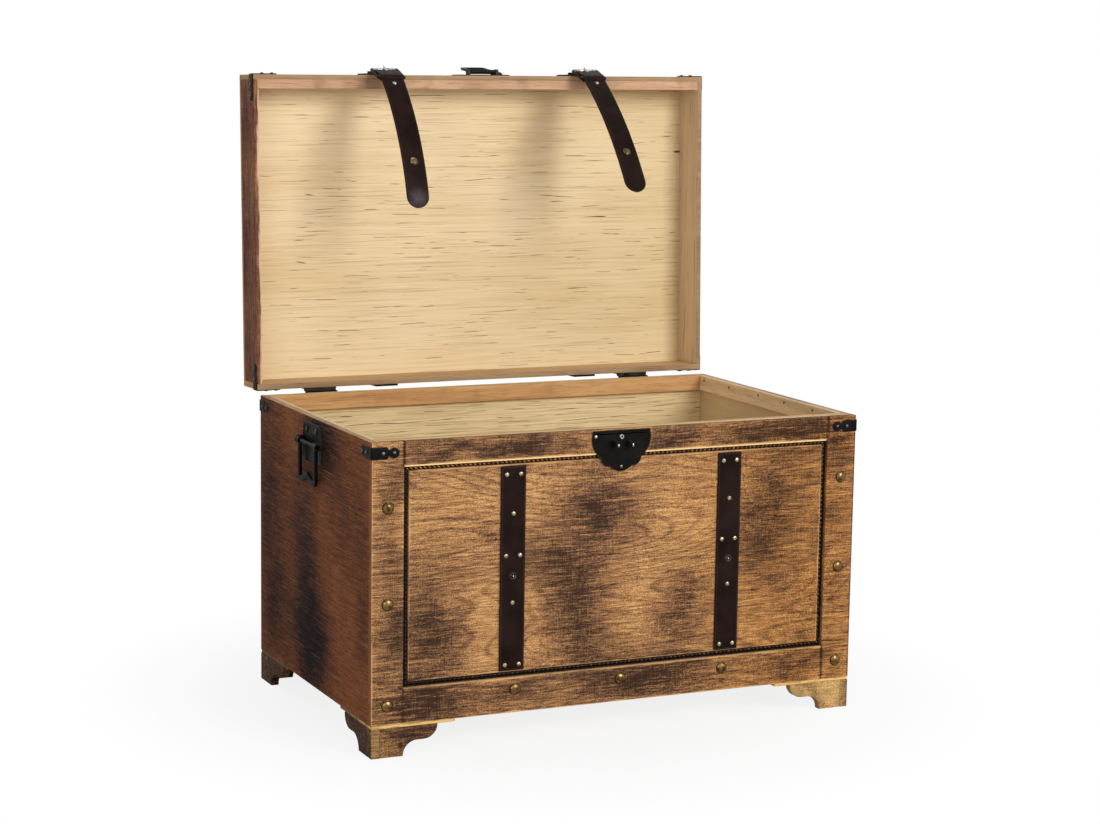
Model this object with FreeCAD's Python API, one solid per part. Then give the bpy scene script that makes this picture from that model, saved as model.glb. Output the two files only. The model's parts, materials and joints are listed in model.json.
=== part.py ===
import FreeCAD, Part
import math
import os

# A lidded storage trunk on bracket feet, with its lid standing open.
# Built with x across the front, y from the front face to the back and z up from the floor, in
# millimetres. The lid is drawn shut and then turned open about its hinges.

Vector = FreeCAD.Vector
ACROSS = Vector(1, 0, 0)
BACK = Vector(0, 1, 0)
UP = Vector(0, 0, 1)
FRONT = BACK.negative()
LEFT = ACROSS.negative()

# Box
chest_width = 750.0
chest_depth = 470.0
box_height = 390.0
side_thick = 9.0
back_thick = 9.0
front_board_thick = 9.0
bottom_thick = 9.0

# Front frame, raised field and bead between them
frame_thick = 9.0
stile_width = 46.5
top_rail_height = 33.0
bottom_rail_height = 50.0
field_thick = 7.0
bead_width = 8.0
bead_thick = 5.0

# Battens inside the rim
batten_height = 24.0
front_batten_thick = 9.0
back_batten_thick = 9.0
side_batten_thick = 7.0

# Bracket feet: a toe on the floor, then a hollow cove, a short flat and a swelling ovolo up to the box
foot_height = 41.0
foot_board_thick = 12.5
foot_toe = 47.0
foot_cove_radius = 21.0
foot_flat = 8.0
foot_side_inset = 2.0
foot_plate_thick = 4.0
foot_plate_margin = 27.5
foot_plate_inset = 1.0

# Lid
lid_height = 68.0
lid_seat_gap = 0.5
lid_open_angle = 92.0
lid_panel_thick = 6.0
lid_front_thick = 7.0
lid_back_thick = 9.0
lid_side_thick = 7.5
lid_batten_thick = 14.0
lid_batten_height = 24.0

# Butt hinges on the outside of the back
hinge_left_set_in = 100.0
hinge_right_set_in = 122.0
hinge_width = 49.0
hinge_offset = 8.4
hinge_drop = 2.8
hinge_leaf_height = 32.0
hinge_leaf_thick = 2.5
hinge_pin_radius = 1.6
hinge_knuckle_radius = 3.6
hinge_end_gap = 0.3
hinge_web_rise = 3.0
hinge_web_gap = 0.6
pin_clearance = 0.05

# Leather bands on the front, straps round the lid and loose tongues
strap_set_in = 207.0
band_width = 37.0
band_thick = 3.0
band_end_gap = 2.0
lid_strap_end_gap = 1.0
lid_strap_double = 25.0
tongue_width = 35.0
tongue_thick = 3.2
tongue_length = {"left": 222.0, "right": 231.0}
tongue_lean = {"left": (42.0, 76.0), "right": (34.5, 57.5)}
buckle_lean = 19.0

# Buckles
buckle_length = 36.0
buckle_bar_radius = 2.0
buckle_bar_rise = 3.0
buckle_side_gap = 0.5
buckle_seat_gap = 0.3
prong_radius = 1.4
prong_overhang = 4.0
prong_rise = 4.2
prong_slot_gap = 0.3

# Brass nails, rivets and press studs
dome_nail_radius = 8.5
dome_nail_height = 4.5
small_nail_radius = 3.8
small_nail_height = 2.0
snap_base_radius = 6.0
snap_base_height = 1.0
snap_post_radius = 4.0
snap_post_height = 2.5
snap_hollow_radius = 2.2
snap_cap_radius = 6.5
snap_cap_height = 2.2
tongue_rivet_radius = 3.6
tongue_rivet_height = 1.6
tongue_rivet_place = 13.0
snap_cap_from_tip = 70.5

# Rows of small nails along a band, as shares of its length from the top: row height, nails across
band_nail_rows = ((0.04, 2), (0.23, 1), (0.435, 2), (0.665, 1), (0.97, 2))
band_nail_spread = 21.0
band_snap_share = 0.535
# Rows of small nails along a lid strap, as shares of the lid's depth
lid_nail_rows = ((0.06, 2), (0.28, 1), (0.5, 2), (0.72, 1), (0.94, 2))
# Dome nails up each stile and along the bottom rail, as shares of the stile and of the rail
stile_nail_shares = (0.07, 0.43, 0.77)
rail_nail_shares = (0.253, 0.5, 0.747)
rail_nail_height_share = 0.66

# Corner bands
corner_band_thick = 1.5
corner_band_height = 17.0
corner_band_body = 23.0
corner_band_neck = 9.0
corner_band_bulb_radius = 7.3
corner_band_reach = 39.0
corner_band_drop = 15.0
lid_corner_band_rise = 10.5
corner_nail_place = 16.0

# Half-moon lock plates, padlock staples and hasp
latch_centre = -5.0
latch_half_width = 44.0
latch_depth = 55.0
latch_thick = 1.5
latch_lobe_swell = 3.5
latch_lobe_angles = (0.0, 44.0, 68.0, 112.0, 136.0, 180.0)
latch_rim_gap = 1.5
latch_rivet_drops = (11.0, 53.0)
staple_spacing = 22.5
staple_drop = 21.5
staple_width = 5.0
staple_radius = 5.0
staple_eye_radius = 2.8
staple_eye_reach = 9.4
hasp_width = 45.0
hasp_bar = 6.5
hasp_thick = 3.0
hasp_barrel_radius = 3.2
hasp_pin_radius = 1.6
hasp_rise = 6.0
hasp_staple_gap = 3.0
hasp_rest_swing = 168.0
hasp_ear_gap = 0.4
hasp_ear_width = 8.0
hasp_ear_radius = 4.2

# Drop handles on the sides
handle_plate_width = 80.0
handle_plate_top_width = 60.0
handle_plate_height = 57.0
handle_plate_thick = 2.0
handle_plate_drop = 8.0
handle_rivet_spread = 38.0
handle_rivet_drop = 8.0
handle_pivot_drop = 36.0
handle_pivot_stand = 0.5
handle_leg_width = 8.0
handle_thick = 5.0
handle_side_gap = 3.0
handle_fall = 58.5
handle_grip_height = 8.0
handle_cusp = 9.0
handle_eye_radius = 5.0
handle_trunnion_radius = 3.0
handle_ear_gap = 0.5
handle_ear_width = 6.0
handle_ear_radius = 5.5

# Heights and edges that follow from the sizes above
handle_width = handle_plate_width - 2 * handle_side_gap
half_width = chest_width / 2
box_bottom = foot_height + foot_plate_thick
box_top = box_bottom + box_height
rim = box_top + lid_seat_gap
lid_top = rim + lid_height
front_inner = frame_thick + front_board_thick
inner_half = half_width - side_thick
frame_half = half_width - stile_width
frame_top = box_top - top_rail_height
frame_bottom = box_bottom + bottom_rail_height
field_half = frame_half - bead_width
field_top = frame_top - bead_width
field_bottom = frame_bottom + bead_width
field_face = frame_thick - field_thick
band_top = field_top - band_end_gap
band_bottom = field_bottom + band_end_gap
band_face = field_face - band_thick
ovolo_radius = foot_height - foot_cove_radius
foot_reach = foot_toe + foot_cove_radius + foot_flat + ovolo_radius
hinge_axis = Vector(0, chest_depth + hinge_offset, box_top - hinge_drop)
hinge_centres = {"left": hinge_left_set_in - half_width, "right": half_width - hinge_right_set_in}
strap_centres = {"left": strap_set_in - half_width, "right": half_width - strap_set_in}


def block(low, high):
    """A board or bar between two opposite corners."""
    size = Vector(*high) - Vector(*low)
    return Part.makeBox(size.x, size.y, size.z, Vector(*low))


def rod(radius, start, end):
    """A round bar from one point to another."""
    run = end - start
    return Part.makeCylinder(radius, run.Length, start, run)


def slab(corners, depth):
    """A straight-sided plate: a closed outline carried along a vector."""
    return Part.Face(Part.makePolygon(corners + corners[:1])).extrude(depth)


def dome(radius, height, seat, outward):
    """A nail head: the cap of a sphere whose flat side lies on the seat."""
    ball = (radius ** 2 + height ** 2) / (2 * height)
    centre = seat - outward * (ball - height)
    latitude = math.degrees(math.asin((ball - height) / ball))
    return Part.makeSphere(ball, centre, outward, latitude, 90, 360)


def side_twin(shape):
    """The same piece on the other side of the chest."""
    return shape.mirror(Vector(), ACROSS)


def end_twin(shape):
    """The same piece at the other end of the chest's depth."""
    return shape.mirror(Vector(0, chest_depth / 2, 0), BACK)


def four_corners(shapes):
    """Pieces of the front left corner, repeated at all four corners."""
    front = shapes + [side_twin(s) for s in shapes]
    return front + [end_twin(s) for s in front]


def turned(shape, pivot, degrees):
    """A copy turned about the x direction through a point; positive lifts the back."""
    copy = shape.copy()
    copy.rotate(pivot, ACROSS, degrees)
    return copy


def opened(shape):
    """A piece of the shut lid, carried to where the open lid holds it."""
    return turned(shape, hinge_axis, -lid_open_angle)


def group(shapes):
    """Like fasteners kept together as separate solids."""
    return Part.makeCompound(shapes)


parts = {}


def make_box():
    """Sides, back, bottom and the board behind the front frame."""
    side = block((-half_width, frame_thick, box_bottom), (-inner_half, chest_depth, box_top))
    parts["side_panel_left"] = side
    parts["side_panel_right"] = side_twin(side)
    back_inner = chest_depth - back_thick
    parts["back_panel"] = block((-inner_half, back_inner, box_bottom), (inner_half, chest_depth, box_top))
    parts["front_board"] = block((-inner_half, frame_thick, box_bottom), (inner_half, front_inner, box_top))
    parts["bottom_board"] = block(
        (-inner_half, front_inner, box_bottom), (inner_half, back_inner, box_bottom + bottom_thick)
    )


def make_rim_battens():
    """Four battens that line the inside of the rim."""
    low = box_top - batten_height
    front_edge = front_inner + front_batten_thick
    back_inner = chest_depth - back_thick
    back_edge = back_inner - back_batten_thick
    parts["rim_batten_front"] = block((-inner_half, front_inner, low), (inner_half, front_edge, box_top))
    parts["rim_batten_back"] = block((-inner_half, back_edge, low), (inner_half, back_inner, box_top))
    left = block((-inner_half, front_edge, low), (side_batten_thick - inner_half, back_edge, box_top))
    parts["rim_batten_left"] = left
    parts["rim_batten_right"] = side_twin(left)


def make_front():
    """Stiles, rails, the raised field and the mitred bead that runs round it."""
    stile = block((-half_width, 0, box_bottom), (-frame_half, frame_thick, box_top))
    parts["stile_left"] = stile
    parts["stile_right"] = side_twin(stile)
    parts["top_rail"] = block((-frame_half, 0, frame_top), (frame_half, frame_thick, box_top))
    parts["bottom_rail"] = block((-frame_half, 0, box_bottom), (frame_half, frame_thick, frame_bottom))
    parts["front_field"] = block(
        (-field_half, field_face, field_bottom), (field_half, frame_thick, field_top)
    )
    face = frame_thick - bead_thick
    outer = [(-frame_half, frame_bottom), (frame_half, frame_bottom)]
    outer += [(frame_half, frame_top), (-frame_half, frame_top)]
    inner = [(-field_half, field_bottom), (field_half, field_bottom)]
    inner += [(field_half, field_top), (-field_half, field_top)]
    for index, name in enumerate(("bead_bottom", "bead_right", "bead_top", "bead_left")):
        following = (index + 1) % len(outer)
        run = (outer[index], outer[following], inner[following], inner[index])
        corners = [Vector(x, face, z) for x, z in run]
        parts[name] = slab(corners, BACK * bead_thick)


def foot_outline(along):
    """The profile of a bracket, from the corner of the foot out along one face."""
    corner = Vector(foot_side_inset - half_width, 0, 0)
    diagonal = math.sqrt(0.5)

    def at(reach, height):
        return corner + along * reach + UP * height

    cove_end = foot_toe + foot_cove_radius
    ovolo_start = cove_end + foot_flat
    cove_middle = (cove_end - foot_cove_radius * diagonal, foot_cove_radius * diagonal)
    ovolo_middle = (ovolo_start + ovolo_radius * diagonal, foot_height - ovolo_radius * diagonal)
    cove = (at(foot_toe, 0), at(*cove_middle), at(cove_end, foot_cove_radius))
    ovolo = (at(ovolo_start, foot_cove_radius), at(*ovolo_middle), at(foot_reach, foot_height))
    edges = [
        Part.makeLine(at(0, 0), cove[0]),
        Part.Arc(*cove).toShape(),
        Part.makeLine(cove[2], ovolo[0]),
        Part.Arc(*ovolo).toShape(),
        Part.makeLine(ovolo[2], at(0, foot_height)),
        Part.makeLine(at(0, foot_height), at(0, 0)),
    ]
    return Part.Face(Part.Wire(edges))


def make_feet():
    """Bracket feet of two boards glued at the corner, and the plate between foot and box."""
    face_board = foot_outline(ACROSS).extrude(BACK * foot_board_thick)
    return_board = foot_outline(BACK).extrude(ACROSS * foot_board_thick)
    foot = face_board.fuse(return_board).removeSplitter()
    plate_reach = foot_reach + foot_plate_margin
    plate = block(
        (foot_plate_inset - half_width, 0, foot_height),
        (plate_reach - half_width, plate_reach, box_bottom),
    )
    names = ("front_left", "front_right", "rear_left", "rear_right")
    for name, shape in zip(names, four_corners([foot])):
        parts["foot_" + name] = shape
    parts["foot_plates"] = group(four_corners([plate]))


def make_front_bands():
    """Leather bands nailed down the field, each with the lower half of a press stud."""
    studs = []
    height = band_top - band_bottom
    for side, centre in strap_centres.items():
        parts["front_band_" + side] = block(
            (centre - band_width / 2, band_face, band_bottom),
            (centre + band_width / 2, field_face, band_top),
        )
        seat = Vector(centre, band_face, band_top - height * band_snap_share)
        base = Part.makeCylinder(snap_base_radius, snap_base_height, seat, FRONT)
        post = Part.makeCylinder(snap_post_radius, snap_post_height, seat, FRONT)
        hollow = Part.makeCylinder(
            snap_hollow_radius, snap_post_height, seat + FRONT * snap_base_height, FRONT
        )
        studs.append(base.fuse(post).cut(hollow).removeSplitter())
    parts["snap_studs"] = group(studs)


def band_nails():
    """Small nails down both front bands."""
    nails = []
    height = band_top - band_bottom
    for centre in strap_centres.values():
        for share, across in band_nail_rows:
            for index in range(across):
                x = centre + band_nail_spread * (index - (across - 1) / 2)
                seat = Vector(x, band_face, band_top - height * share)
                nails.append(dome(small_nail_radius, small_nail_height, seat, FRONT))
    return nails


def make_dome_nails():
    """Large dome nails up the stiles and along the bottom rail."""
    nails = []
    stile_middle = half_width - stile_width / 2
    for x in (-stile_middle, stile_middle):
        for share in stile_nail_shares:
            seat = Vector(x, 0, box_bottom + box_height * share)
            nails.append(dome(dome_nail_radius, dome_nail_height, seat, FRONT))
    for share in rail_nail_shares:
        x = -frame_half + 2 * frame_half * share
        seat = Vector(x, 0, box_bottom + bottom_rail_height * rail_nail_height_share)
        nails.append(dome(dome_nail_radius, dome_nail_height, seat, FRONT))
    parts["dome_nails"] = group(nails)


def corner_band(middle):
    """A metal band bent round the front left corner, with a round end on each leg."""
    low = middle - corner_band_height / 2
    high = middle + corner_band_height / 2
    neck_low = middle - corner_band_neck / 2
    neck_high = middle + corner_band_neck / 2
    bulb = corner_band_reach - corner_band_bulb_radius
    thick = corner_band_thick
    corner = Vector(-half_width, 0, 0)
    shapes = [
        block((-half_width - thick, -thick, low), (corner_band_body - half_width, 0, high)),
        block((-half_width - thick, -thick, low), (-half_width, corner_band_body, high)),
        block((-half_width, -thick, neck_low), (bulb - half_width, 0, neck_high)),
        block((-half_width - thick, 0, neck_low), (-half_width, bulb, neck_high)),
        Part.makeCylinder(
            corner_band_bulb_radius, thick, corner + ACROSS * bulb + UP * middle, FRONT
        ),
        Part.makeCylinder(corner_band_bulb_radius, thick, corner + BACK * bulb + UP * middle, LEFT),
    ]
    return shapes[0].multiFuse(shapes[1:]).removeSplitter()


def corner_band_nails(middle):
    """Two nails on each leg of the front left corner band."""
    nails = []
    bulb = corner_band_reach - corner_band_bulb_radius
    corner = Vector(-half_width, 0, middle)
    for place in (corner_nail_place, bulb):
        on_front = corner + ACROSS * place + FRONT * corner_band_thick
        on_side = corner + BACK * place + LEFT * corner_band_thick
        nails.append(dome(small_nail_radius, small_nail_height, on_front, FRONT))
        nails.append(dome(small_nail_radius, small_nail_height, on_side, LEFT))
    return nails


def half_moon(straight, direction):
    """A lock plate: five lobes hung from a straight edge, on the front face."""

    def at(angle, swell):
        turn = math.radians(angle)
        x = latch_centre - (latch_half_width + swell) * math.cos(turn)
        z = straight + direction * (latch_depth + swell) * math.sin(turn)
        return Vector(x, -latch_thick, z)

    edges = []
    for start, end in zip(latch_lobe_angles, latch_lobe_angles[1:]):
        middle = at((start + end) / 2, latch_lobe_swell)
        edges.append(Part.Arc(at(start, 0), middle, at(end, 0)).toShape())
    edges.append(Part.makeLine(at(latch_lobe_angles[-1], 0), at(latch_lobe_angles[0], 0)))
    return Part.Face(Part.Wire(edges)).extrude(BACK * latch_thick)


def make_latch():
    """The lock plate on the box, and two staples that take a padlock."""
    parts["latch_plate"] = half_moon(box_top - latch_rim_gap, -1)
    staples = []
    for side in (-1, 1):
        x = latch_centre + side * staple_spacing / 2 - staple_width / 2
        z = box_top - staple_drop
        tab = block(
            (x, -latch_thick - staple_eye_reach, z - staple_radius),
            (x + staple_width, -latch_thick, z + staple_radius),
        )
        eye = Vector(x, -latch_thick - staple_eye_reach, z)
        nose = Part.makeCylinder(staple_radius, staple_width, eye, ACROSS)
        bore = Part.makeCylinder(staple_eye_radius, staple_width, eye, ACROSS)
        staples.append(tab.fuse(nose).cut(bore).removeSplitter())
    parts["latch_staples"] = group(staples)


def latch_rivets():
    """Rivets on the middle line of the lower lock plate."""
    rivets = []
    for drop in latch_rivet_drops:
        seat = Vector(latch_centre, -latch_thick, box_top - drop)
        rivets.append(dome(small_nail_radius, small_nail_height, seat, FRONT))
    return rivets


def make_handles():
    """Back plates with two ears, and the drop handles that swing in them."""
    middle = chest_depth / 2
    outer = -half_width - handle_plate_thick
    top = box_top - handle_plate_drop
    bottom = top - handle_plate_height
    reach = handle_plate_thick + handle_ear_radius + handle_pivot_stand
    pivot = Vector(-half_width - reach, middle, box_top - handle_pivot_drop)
    outline = [
        (middle - handle_plate_width / 2, bottom),
        (middle + handle_plate_width / 2, bottom),
        (middle + handle_plate_width / 2, pivot.z),
        (middle + handle_plate_top_width / 2, top),
        (middle - handle_plate_top_width / 2, top),
        (middle - handle_plate_width / 2, pivot.z),
    ]
    plate = slab([Vector(outer, y, z) for y, z in outline], ACROSS * handle_plate_thick)
    handle = handle_bail(pivot)
    for side in (-1, 1):
        near = handle_width / 2 + handle_ear_gap
        start = pivot + BACK * (near if side > 0 else -near - handle_ear_width)
        ear = Part.makeCylinder(handle_ear_radius, handle_ear_width, start, BACK)
        foot = block(
            (pivot.x, start.y, pivot.z - handle_ear_radius),
            (-half_width, start.y + handle_ear_width, pivot.z + handle_ear_radius),
        )
        bore = Part.makeCylinder(
            handle_trunnion_radius + pin_clearance, handle_ear_width, start, BACK
        )
        plate = plate.fuse(ear.fuse(foot).cut(bore))
        trunnion_end = pivot + BACK * side * (near + handle_ear_width)
        handle = handle.fuse(
            rod(handle_trunnion_radius, pivot + BACK * side * (near - handle_leg_width), trunnion_end)
        )
    parts["handle_plate_left"] = plate.removeSplitter()
    parts["handle_plate_right"] = side_twin(parts["handle_plate_left"])
    parts["handle_left"] = handle.removeSplitter()
    parts["handle_right"] = side_twin(parts["handle_left"])


def handle_bail(pivot):
    """Two legs that hang from the pivot, and a grip that rises to a cusp in its middle."""
    half = handle_width / 2
    bottom = pivot.z - handle_fall
    grip_top = bottom + handle_grip_height
    inner_x = pivot.x - handle_thick / 2
    grip = [
        (-half, bottom),
        (0, bottom + handle_cusp),
        (half, bottom),
        (half, grip_top),
        (0, grip_top + handle_cusp),
        (-half, grip_top),
    ]
    bail = slab([Vector(inner_x, pivot.y + y, z) for y, z in grip], ACROSS * handle_thick)
    for side in (-1, 1):
        start = pivot.y + (half - handle_leg_width if side > 0 else -half)
        leg = block(
            (inner_x, start, grip_top),
            (inner_x + handle_thick, start + handle_leg_width, pivot.z),
        )
        eye = Part.makeCylinder(
            handle_eye_radius, handle_leg_width, Vector(pivot.x, start, pivot.z), BACK
        )
        bail = bail.fuse(leg).fuse(eye)
    return bail.removeSplitter()


def handle_rivets():
    """Two rivets through each handle plate."""
    rivets = []
    for side in (-1, 1):
        seat = Vector(
            -half_width - handle_plate_thick,
            chest_depth / 2 + side * handle_rivet_spread / 2,
            box_top - handle_plate_drop - handle_rivet_drop,
        )
        rivets.append(dome(small_nail_radius, small_nail_height, seat, LEFT))
    return rivets + [side_twin(r) for r in rivets]


def make_hinges():
    """Butt hinges: two knuckles on the box leaf, one between them on the lid leaf, and a pin."""
    pins = []
    third = hinge_width / 3
    for name, centre in hinge_centres.items():
        low = centre - hinge_width / 2
        start = Vector(low, hinge_axis.y, hinge_axis.z)
        bore = Part.makeCylinder(hinge_pin_radius + pin_clearance, hinge_width, start, ACROSS)
        box_leaf = block(
            (low, chest_depth, hinge_axis.z - hinge_leaf_height),
            (low + hinge_width, chest_depth + hinge_leaf_thick, hinge_axis.z - hinge_web_gap),
        )
        for offset in (0, 2 * third):
            web = block(
                (low + offset, chest_depth, hinge_axis.z - hinge_knuckle_radius),
                (low + offset + third, hinge_axis.y, hinge_axis.z),
            )
            knuckle = Part.makeCylinder(hinge_knuckle_radius, third, start + ACROSS * offset, ACROSS)
            box_leaf = box_leaf.fuse(web).fuse(knuckle)
        parts["hinge_leaf_" + name] = box_leaf.cut(bore).removeSplitter()
        lid_leaf = block(
            (low, chest_depth, rim),
            (low + hinge_width, chest_depth + hinge_leaf_thick, rim + hinge_leaf_height),
        )
        inner = low + third + hinge_end_gap
        inner_width = third - 2 * hinge_end_gap
        web = block(
            (inner, chest_depth + hinge_web_gap, hinge_axis.z),
            (inner + inner_width, hinge_axis.y, rim + hinge_web_rise),
        )
        knuckle = Part.makeCylinder(
            hinge_knuckle_radius, inner_width, Vector(inner, hinge_axis.y, hinge_axis.z), ACROSS
        )
        lid_leaf = lid_leaf.fuse(web).fuse(knuckle).cut(bore).removeSplitter()
        parts["lid_hinge_leaf_" + name] = opened(lid_leaf)
        pins.append(Part.makeCylinder(hinge_pin_radius, hinge_width, start, ACROSS))
    parts["hinge_pins"] = group(pins)


def make_lid():
    """A shallow box lid: four walls, a panel on top and a batten behind the front wall."""
    wall_top = lid_top - lid_panel_thick
    back_inner = chest_depth - lid_back_thick
    batten_inner = lid_front_thick + lid_batten_thick
    side_inner = half_width - lid_side_thick
    walls = {
        "lid_panel": block((-half_width, 0, wall_top), (half_width, chest_depth, lid_top)),
        "lid_front_wall": block((-half_width, 0, rim), (half_width, lid_front_thick, wall_top)),
        "lid_back_wall": block((-half_width, back_inner, rim), (half_width, chest_depth, wall_top)),
        "lid_left_wall": block((-half_width, lid_front_thick, rim), (-side_inner, back_inner, wall_top)),
        "lid_right_wall": block((side_inner, lid_front_thick, rim), (half_width, back_inner, wall_top)),
        "lid_front_batten": block(
            (-side_inner, lid_front_thick, rim), (side_inner, batten_inner, rim + lid_batten_height)
        ),
    }
    for name, wall in walls.items():
        parts[name] = opened(wall)


def make_lid_straps():
    """Leather straps over the lid, folded double where the buckle hangs."""
    end = rim + lid_strap_end_gap
    thick = band_thick
    for side, centre in strap_centres.items():
        low = centre - band_width / 2
        high = centre + band_width / 2
        runs = [
            block((low, -thick, lid_top), (high, chest_depth + thick, lid_top + thick)),
            block((low, -thick, end), (high, 0, lid_top)),
            block((low, chest_depth, end), (high, chest_depth + thick, lid_top)),
            block((low, -2 * thick, end), (high, -thick, end + lid_strap_double)),
        ]
        parts["lid_strap_" + side] = opened(runs[0].multiFuse(runs[1:]).removeSplitter())


def make_hasp():
    """The lock plate on the lid, its ears and pin, and the loop that drops over the staples."""
    pivot = Vector(latch_centre, -latch_thick - hasp_ear_radius, rim + hasp_rise)
    plate = half_moon(rim + lid_strap_end_gap, 1)
    ear_start = hasp_width / 2 + hasp_ear_gap
    reach = ear_start + hasp_ear_width
    ear_bore = Part.makeCylinder(
        hasp_pin_radius + pin_clearance, 2 * reach, pivot - ACROSS * reach, ACROSS
    )
    for start in (-reach, ear_start):
        corner = pivot + ACROSS * start
        ear = Part.makeCylinder(hasp_ear_radius, hasp_ear_width, corner, ACROSS)
        foot = block(
            (corner.x, pivot.y, pivot.z - hasp_ear_radius),
            (corner.x + hasp_ear_width, -latch_thick / 2, pivot.z + hasp_ear_radius),
        )
        plate = plate.fuse(ear.fuse(foot))
    parts["lid_latch_plate"] = opened(plate.cut(ear_bore).removeSplitter())
    pin = Part.makeCylinder(hasp_pin_radius, 2 * reach, pivot - ACROSS * reach, ACROSS)
    parts["hasp_pin"] = opened(pin)
    staple_low = hasp_rise + lid_seat_gap + staple_drop + staple_radius
    length = staple_low + hasp_staple_gap + hasp_bar
    half = hasp_width / 2
    outer = block(
        (pivot.x - half, pivot.y - hasp_thick / 2, pivot.z - length),
        (pivot.x + half, pivot.y + hasp_thick / 2, pivot.z),
    )
    opening = block(
        (pivot.x - half + hasp_bar, pivot.y - hasp_thick, pivot.z - length + hasp_bar),
        (pivot.x + half - hasp_bar, pivot.y + hasp_thick, pivot.z - hasp_bar),
    )
    barrel_start = pivot - ACROSS * half
    barrel = Part.makeCylinder(hasp_barrel_radius, hasp_width, barrel_start, ACROSS)
    bore = Part.makeCylinder(hasp_pin_radius + pin_clearance, hasp_width, barrel_start, ACROSS)
    loop = outer.cut(opening).fuse(barrel).cut(bore).removeSplitter()
    parts["hasp"] = opened(turned(loop, pivot, -hasp_rest_swing))


def make_tongues():
    """Buckles on the lid straps, and the stiff leather tongues that hang from them."""
    shut_bar = Vector(
        0, -2 * band_thick - buckle_seat_gap - buckle_bar_radius, rim + buckle_bar_rise
    )
    bar = Part.Vertex(shut_bar)
    bar.rotate(hinge_axis, ACROSS, -lid_open_angle)
    for side, centre in strap_centres.items():
        pivot = Vector(centre, bar.Point.y, bar.Point.z)
        parts["buckle_" + side] = buckle(pivot)
        make_tongue(side, pivot)


def forward(degrees):
    """A unit vector to the front, dropped by an angle below level."""
    angle = math.radians(degrees)
    return Vector(0, -math.cos(angle), -math.sin(angle))


def buckle(pivot):
    """A frame of round bars with a prong whose tip lies over the rear bar."""
    half = band_width / 2 + buckle_side_gap + buckle_bar_radius
    far = pivot + FRONT * buckle_length
    shapes = []
    for place in (pivot, far):
        shapes.append(rod(buckle_bar_radius, place - ACROSS * half, place + ACROSS * half))
    for x in (-half, half):
        shapes.append(rod(buckle_bar_radius, pivot + ACROSS * x, far + ACROSS * x))
        for place in (pivot, far):
            shapes.append(Part.makeSphere(buckle_bar_radius, place + ACROSS * x))
    tip = pivot + BACK * prong_overhang + UP * prong_rise
    shapes.append(rod(prong_radius, far, tip))
    frame = shapes[0].multiFuse(shapes[1:]).removeSplitter()
    return turned(frame, pivot, buckle_lean)


def make_tongue(side, pivot):
    """A leather tongue that curls down from the buckle's front bar to a round tip, with studs."""
    first, last = tongue_lean[side]
    start = pivot + forward(buckle_lean) * buckle_length
    length = tongue_length[side]
    radius = length / math.radians(last - first)

    def inward(angle):
        return Vector(0, math.sin(math.radians(angle)), -math.cos(math.radians(angle)))

    centre = start + inward(first) * radius

    def at(angle, distance):
        return centre - inward(angle) * distance - ACROSS * (tongue_width / 2)

    middle = (first + last) / 2
    outer = radius + tongue_thick / 2
    inner = radius - tongue_thick / 2
    edges = [
        Part.Arc(at(first, outer), at(middle, outer), at(last, outer)).toShape(),
        Part.makeLine(at(last, outer), at(last, inner)),
        Part.Arc(at(last, inner), at(middle, inner), at(first, inner)).toShape(),
        Part.makeLine(at(first, inner), at(first, outer)),
    ]
    strip = Part.Face(Part.Wire(edges)).extrude(ACROSS * tongue_width)

    def along(place):
        angle = first + math.degrees(place / radius)
        return angle, centre - inward(angle) * radius

    tip_angle, tip_centre = along(length - tongue_width / 2)
    waste = block(
        (-tongue_width, -tongue_width, -tongue_width), (tongue_width, 0, tongue_width)
    )
    nose = Part.makeCylinder(tongue_width / 2, 2 * tongue_width, Vector(0, 0, -tongue_width), UP)
    waste = turned(waste.cut(nose), Vector(), tip_angle)
    waste.translate(tip_centre)
    roll = rod(
        buckle_bar_radius + tongue_thick,
        start - ACROSS * (tongue_width / 2),
        start + ACROSS * (tongue_width / 2),
    )
    bore = rod(
        buckle_bar_radius + pin_clearance,
        start - ACROSS * tongue_width,
        start + ACROSS * tongue_width,
    )
    slot_half = prong_radius + prong_slot_gap
    roll_reach = buckle_bar_radius + 2 * tongue_thick
    slot = block((-slot_half, 0, -roll_reach), (slot_half, roll_reach, roll_reach))
    slot = turned(slot, Vector(), buckle_lean)
    slot.translate(start)
    parts["tongue_" + side] = strip.cut(waste).fuse(roll).cut(bore).cut(slot).removeSplitter()
    studs = []
    places = (
        (tongue_rivet_place, tongue_rivet_radius, tongue_rivet_height),
        (length - snap_cap_from_tip, snap_cap_radius, snap_cap_height),
    )
    for place, stud_radius, stud_height in places:
        angle, spot = along(place)
        outward = inward(angle).negative()
        seat = spot + outward * (tongue_thick / 2)
        studs.append(dome(stud_radius, stud_height, seat, outward))
    parts["tongue_studs_" + side] = group(studs)


def make_small_nails():
    """Small nails and corner bands of the box, and those of the lid."""
    box_middle = box_top - corner_band_drop
    lid_middle = rim + lid_corner_band_rise
    parts["corner_bands"] = group(four_corners([corner_band(box_middle)]))
    nails = four_corners(corner_band_nails(box_middle))
    parts["chest_nails"] = group(nails + band_nails() + latch_rivets() + handle_rivets())
    bands = four_corners([corner_band(lid_middle)])
    parts["lid_corner_bands"] = group([opened(b) for b in bands])
    lid_nails = four_corners(corner_band_nails(lid_middle)) + lid_strap_nails()
    parts["lid_nails"] = group([opened(n) for n in lid_nails])


def lid_strap_nails():
    """Small nails along the lid straps, on top of the lid."""
    nails = []
    for centre in strap_centres.values():
        for share, across in lid_nail_rows:
            for index in range(across):
                x = centre + band_nail_spread * (index - (across - 1) / 2)
                seat = Vector(x, chest_depth * share, lid_top + band_thick)
                nails.append(dome(small_nail_radius, small_nail_height, seat, UP))
    return nails


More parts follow.
